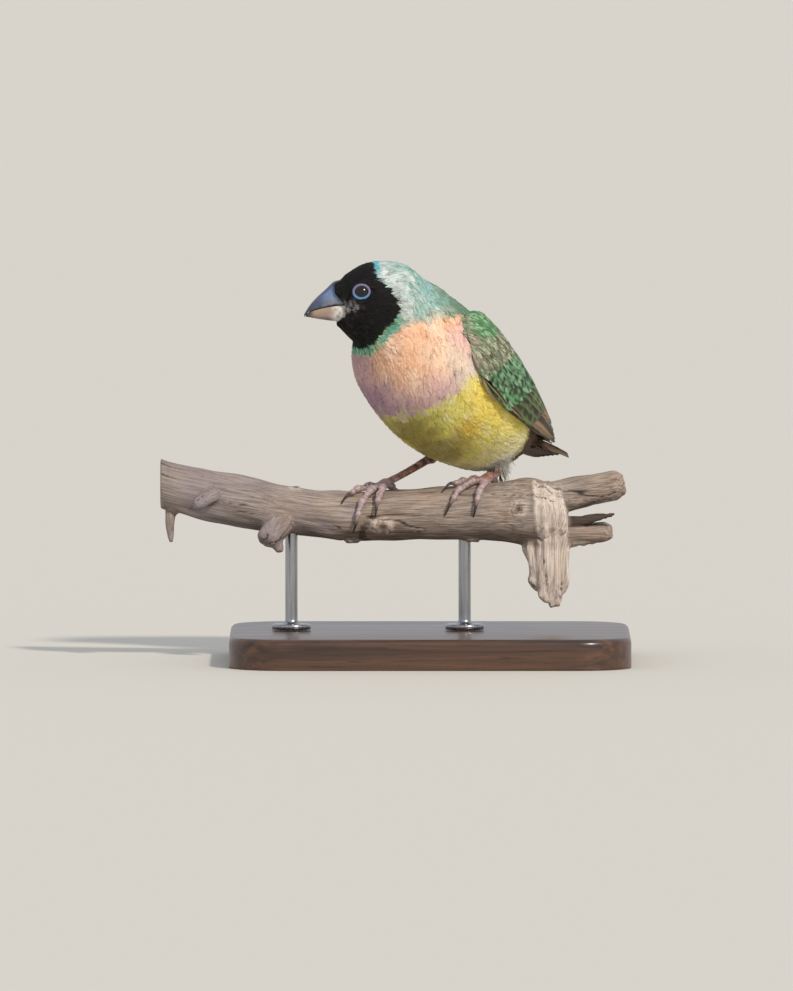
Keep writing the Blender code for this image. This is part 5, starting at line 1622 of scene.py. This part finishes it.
def grain_of(points):
    """Along, out and round measures of the grain at points of the branch, from its nearest limb."""
    x, y, z = points.T
    height, radius = np.moveaxis(along(PERCH_AXIS, np.clip(x, -70.0, 34.5)), -1, 0)
    off = np.stack([y, z - PERCH_HEIGHT - height], -1)
    best = np.linalg.norm(off, axis=1) / radius
    grain = np.stack([x, off[:, 0], off[:, 1]], -1)
    for i, (rows, radii, depth) in enumerate(TWIGS.values()):
        line = np.array(rows) + (0.0, 0.0, PERCH_HEIGHT)
        start, run = line[0], unit(line[-1] - line[0])
        side = unit(np.cross(run, (0.3, 1.0, 0.2)))
        from_start = points - start
        s = from_start @ run
        t = np.clip(s / np.linalg.norm(line[-1] - line[0]), 0.12, 1.0)
        middle = np.array([np.interp(t, np.linspace(0, 1, len(rows)), line[:, axis]) for axis in range(3)]).T
        girth = np.interp(t, np.linspace(0, 1, len(rows)), radii)
        share = np.linalg.norm((points - middle) / (1.0, depth, 1.0), axis=1) / girth + 0.08
        mine = (share < best) & (s > 0)
        best = np.where(mine, share, best)
        own = np.stack([s + 40 * i, from_start @ side, from_start @ np.cross(run, side)], -1)
        grain = np.where(mine[:, None], own, grain)
    return grain


def streaks(grain, size, stretch, seed):
    """A random field that runs lengthwise with the grain."""
    return mottle(grain / (stretch, 1.0, 1.0), size, seed)


def build_perch():
    """Weathered dead wood: worn bark with cracks and grain, knots and splintered twigs, and painted shade on its
    underside.
    """
    xs = np.linspace(-70.0, 34.5, 150)
    turns = np.linspace(0, 360, 49)[:-1]
    rings = np.array([perch_points(np.full(48, x), turns) for x in xs])
    parts = [capped(rings)]
    parts += [twig_tube(*twig) for twig in TWIGS.values()]
    for x, angle, radius in KNOTS:
        parts.append(ball(perch_points(x, angle, -radius * 0.45), radius, 10, 16))
    form = mesh_object("perch_form", *joined(parts))
    remesh = form.modifiers.new("even", "REMESH")
    remesh.mode, remesh.voxel_size = "VOXEL", 0.42 * MM
    smooth = form.modifiers.new("smooth", "SMOOTH")
    smooth.factor, smooth.iterations = 0.5, 3
    mesh = modified(form)
    points, normals, _ = mesh_arrays(mesh)
    quads = np.empty(len(mesh.loops), np.int32)
    mesh.loops.foreach_get("vertex_index", quads)
    grain = grain_of(points)
    x, y, z = points.T - np.array([[0.0], [0.0], [PERCH_HEIGHT]])
    worn = 0.2 * streaks(grain, 3.2, 4.0, 61) + 0.1 * streaks(grain, 1.1, 7.0, 62)
    crack = 1 - smooth_step(np.abs(streaks(grain, 3.0, 8.0, 63)), 0.02, 0.12)
    crack = crack * smooth_step(streaks(grain, 6.0, 3.0, 64), 0.1, 0.6)
    slab = (1 - smooth_step(np.abs(x - 31.0 + 0.12 * z), 3.2, 4.6)) * (1 - smooth_step(y, -4.0, -2.0))
    torn = np.maximum(slab, (1 - smooth_step(z, -9.0, -6.5)) * smooth_step(x, 22.0, 25.0))
    split = np.stack([z / 9.0, x, y], -1)
    worn = worn + 0.7 * slab * smooth_step(z, -9.0, -6.0) + 0.5 * torn * mottle(split, 1.5, 65) - 0.4 * crack
    pits, rims = np.zeros(len(points)), np.zeros(len(points))
    for station, angle, radius in KNOTS:
        away = np.linalg.norm(points - perch_points(station, angle, radius * 0.4), axis=1) / radius
        pits = np.maximum(pits, np.exp(-((away / 0.5) ** 2)))
        rims = np.maximum(rims, np.exp(-(((away - 1.0) / 0.35) ** 2)))
    worn = worn - 1.0 * pits + 0.25 * streaks(grain, 0.9, 1.0, 66) * rims
    upright = np.stack([z, x, y], -1) + (300.0, 0.0, 0.0)
    grain = np.where((slab > 0.5)[:, None], upright, grain)
    points = points + normals * (worn * smooth_step(x, -69.6, -68.6))[:, None]
    perch = mesh_object("perch_wood", points, [quads.reshape(-1, 4)])
    store_vectors(perch, grain, "grain")
    stubs = np.exp(-(((x + 40.6) / 3.6) ** 2) - (((z + 5.0) / 4.0) ** 2)) + np.exp(-(((x + 59.5) / 4.0) ** 2) - (((y + 9.0) / 4.0) ** 2))
    blue = np.clip(stubs + 0.6 * (1 - smooth_step(x + 8 * streaks(grain, 9.0, 2.0, 67), -48.0, -20.0)), 0, 1)
    sliver = smooth_step(x, 35.5, 37.0) * (1 - smooth_step(np.abs(z + 0.9), 1.6, 2.0)) * (1 - smooth_step(y, -2.4, -1.6))
    scar = 1 - smooth_step(np.abs(x + 17.3 + 0.6 * np.sin(z) + 0.5 * streaks(grain, 1.0, 1.0, 68)), 0.5, 1.7)
    scar = scar * (1 - smooth_step(y, -1.0, 2.0)) * (1 - smooth_step(z, -2.5, 0.0))
    # Painted shade: the faces turned downwards are darkened, except on the pale split wood.
    under = smooth_step(-normals[:, 2] + 0.25 * streaks(grain, 2.0, 3.0, 69), 0.35, 1.0) * (1 - torn)
    # The first channel darkens the cracks, knot pits, the sliver and the scar, and also carries the painted shade
    # underneath.
    dark = np.maximum(np.maximum(crack, pits), np.maximum(0.95 * np.maximum(sliver, scar), 0.5 * under))
    tint = np.stack([dark, np.maximum(0.9 * torn, 0.6 * rims), blue], -1)
    colour_points(perch, tint)
    place_piece(perch, wood_look(), ("perch",))


def wood_look():
    """Grey-beige dead wood, streaked with the grain, dark in its cracks, darker underneath with painted shade, and pale
    where it split.
    """
    look = Look("perch_wood", Roughness=0.85)
    look.shader.inputs["Specular IOR Level"].default_value = 0.15
    grain = look.attribute("grain", "Vector")
    # The channel read as crack also holds the painted shade of the underside.
    crack, pale, blue = look.node("SeparateColor", in_Color=look.attribute("tint")).outputs
    broad = look.noise(look.scaled(grain, (0.06, 0.22, 0.22)), 1.0, 5.0, 0.6, 0.3)
    patches = look.noise(look.place(), 110.0, 4.0, 0.6)
    fine = look.noise(look.scaled(grain, (0.12, 3.4, 3.4)), 1.0, 6.0, 0.65)
    specks = look.noise(look.place(), 700.0, 5.0, 0.7)
    colour = look.blend(look.levels(broad, 0.34, 0.64), WOOD_DARK, WOOD_MID)
    colour = look.blend(look.levels(patches, 0.48, 0.64, 0.0, 0.7), colour, WOOD_WARM)
    colour = look.blend(look.levels(patches, 0.46, 0.34, 0.0, 0.6), colour, WOOD_BLUE)
    colour = look.blend(look.levels(fine, 0.4, 0.7, 0.0, 0.9), colour, WOOD_LIGHT)
    colour = look.blend(look.sum(blue, 0.55, "MULTIPLY"), colour, WOOD_BLUE)
    colour = look.blend(look.levels(fine, 0.5, 0.32, 0.0, 0.45), colour, WOOD_DARK)
    colour = look.blend(look.sum(pale, 0.9, "MULTIPLY"), colour, look.blend(look.levels(fine, 0.3, 0.55), WOOD_MID, WOOD_PALE))
    colour = look.blend(look.levels(specks, 0.58, 0.72, 0.0, 0.45), colour, WOOD_DARK)
    # Cracks, pits and the painted shade underneath are darkened here.
    colour = look.blend(look.sum(crack, 0.85, "MULTIPLY"), colour, WOOD_CRACK)
    look.colour(colour)
    look.bump(look.sum(fine, look.sum(specks, 0.4, "MULTIPLY")), 0.8, 0.25)
    return look.material


# The stand


def build_stand():
    """A plain plate of dark wood with two steel rods."""
    rings = []
    corners = ((1, 1), (-1, 1), (-1, -1), (1, -1))
    edge = [(BASE_EDGE * (1 - math.sin(turn)), BASE_EDGE * (1 - math.cos(turn))) for turn in np.linspace(0, math.pi / 2, 8)]
    profile = [(0.0, 0.0), (0.4, -0.0)] + [(BASE_HEIGHT - up, inset) for up, inset in edge]
    for height, inset in profile:
        ring = []
        for number, (sign_x, sign_y) in enumerate(corners):
            for step in range(20):
                turn = math.radians(90 * number + 90 * step / 19)
                x = sign_x * (BASE_LENGTH / 2 - BASE_CORNER) + (BASE_CORNER - inset) * math.cos(turn)
                y = sign_y * (BASE_DEPTH / 2 - BASE_CORNER) + (BASE_CORNER - inset) * math.sin(turn)
                ring.append((x, y, height))
        rings.append(ring)
    plate = mesh_object("stand_base_plate", *capped(np.array(rings)))
    place_piece(plate, base_look(), ("stand_base",))
    steel = steel_look()
    for name, x in ROD_STATIONS.items():
        low, high = BASE_HEIGHT + GAP, perch_points(x, -90.0, -ROD_SOCKET)[2]
        foot = low + ROD_FOOT_HEIGHT
        profile = [(0.01, high), (1.3, high), (ROD_RADIUS, high - 0.3)]
        profile += [(ROD_RADIUS, z) for z in np.linspace(high - 1.0, foot + 1.3, 12)]
        flare = np.linspace(0, math.pi / 2, 9)[1:]
        profile += [(ROD_RADIUS + 1.3 * (1 - math.cos(turn)), foot + 1.3 * (1 - math.sin(turn))) for turn in flare]
        profile += [(ROD_FOOT_RADIUS - 0.4, foot), (ROD_FOOT_RADIUS - 0.1, foot - 0.12), (ROD_FOOT_RADIUS, foot - 0.4)]
        profile += [(ROD_FOOT_RADIUS, low), (0.01, low)]
        turns = 2 * math.pi * np.arange(48) / 48
        rings = [np.stack([x + r * np.cos(turns), r * np.sin(turns), np.full(48, z)], -1) for r, z in profile]
        rod = mesh_object(name + "_turned", *capped(np.array(rings)))
        place_piece(rod, steel, (name,))


def base_look():
    look = Look("base_wood", Roughness=0.35, Coat_Weight=0.3, Coat_Roughness=0.2)
    grain = look.noise(look.scaled(look.place(), (18.0, 420.0, 420.0)), 1.0, 6.0, 0.6, 0.6)
    pores = look.noise(look.scaled(look.place(), (120.0, 2400.0, 2400.0)), 1.0, 3.0)
    colour = look.blend(look.levels(grain, 0.35, 0.65), linear((0.20, 0.125, 0.08)), linear((0.36, 0.235, 0.15)))
    look.colour(look.blend(look.levels(pores, 0.56, 0.7, 0.0, 0.6), colour, linear((0.10, 0.06, 0.04))))
    look.roughness(look.levels(grain, 0.3, 0.7, 0.3, 0.45))
    look.bump(pores, 0.15, 0.05)
    return look.material


def steel_look():
    look = Look("rod_steel", Metallic=1.0, Roughness=0.28)
    brush = look.noise(look.scaled(look.place(), (2400.0, 2400.0, 90.0)), 1.0, 3.0)
    look.colour(look.blend(look.levels(brush, 0.3, 0.7), linear((0.56, 0.56, 0.57)), linear((0.70, 0.70, 0.71))))
    look.roughness(look.levels(brush, 0.3, 0.7, 0.22, 0.36))
    look.bump(brush, 0.08, 0.02)
    return look.material


# The stage


def build_stage():
    """A plain pale floor under an even sky, with the sun high at the right and in front."""
    look = Look("floor", Roughness=0.9, Base_Color=(*linear((0.81, 0.79, 0.75)), 1.0))
    corners = [(-FLOOR_REACH, -FLOOR_REACH), (FLOOR_REACH, -FLOOR_REACH), (FLOOR_REACH, FLOOR_REACH), (-FLOOR_REACH, FLOOR_REACH)]
    floor = mesh_object("floor", np.array([(x, y, 0.0) for x, y in corners]), [np.array([[0, 1, 2, 3]])])
    floor.data.materials.append(look.material)
    world = bpy.data.worlds.new("sky")
    bpy.context.scene.world = world
    world.use_nodes = True
    sky = world.node_tree.nodes["Background"]
    sky.inputs["Color"].default_value = (*SKY_COLOUR, 1.0)
    sky.inputs["Strength"].default_value = SKY_STRENGTH
    sun = bpy.data.lights.new("sun", "SUN")
    sun.energy, sun.angle, sun.color = SUN_STRENGTH, math.radians(SUN_WIDTH), SUN_COLOUR
    holder = bpy.data.objects.new("sun", sun)
    bpy.context.scene.collection.objects.link(holder)
    holder.rotation_euler = Vector(SUN_DIRECTION).to_track_quat("Z", "Y").to_euler()
    bpy.context.scene.view_settings.view_transform = "Standard"


def build_camera():
    """The photograph's view: level with the bird, from far away, with its framing."""
    elevation, distance, height_seen = math.radians(3.0), 5000.0, 257.4
    aim = Vector((-8.7, 0.27, 43.06))
    back = Vector((0.0, -math.cos(elevation), math.sin(elevation)))
    lens = bpy.data.cameras.new("camera")
    lens.sensor_width = 36.0
    lens.lens = lens.sensor_width * distance / height_seen
    lens.clip_start, lens.clip_end = 0.1, 50.0
    camera = bpy.data.objects.new("camera", lens)
    bpy.context.scene.collection.objects.link(camera)
    camera.location = (aim + back * distance) * MM
    camera.rotation_euler = back.to_track_quat("Z", "Y").to_euler()
    bpy.context.scene.camera = camera


build_stage()
build_camera()
skin_points, skin_normals, skin_triangles = build_skin()
build_coat(skin_points, skin_normals, skin_triangles)
build_down(skin_points, skin_normals)
vanes = vane_look("flight_feathers")
build_wing(1, "left", vanes)
build_wing(-1, "right", vanes)
build_tail(vanes)
build_bill()
build_eye(1, "left")
build_eye(-1, "right")
leg_skin = tinted_look("leg_skin", 1300.0, 0.05, 0.5, 0.14, 0.4)
claw_horn = tinted_look("claw_horn", 1500.0, 0.03, 0.35, 0.1, 0.2)
for word, leg in LEGS.items():
    build_leg(word, leg, leg_skin, claw_horn)
build_perch()
build_stand()
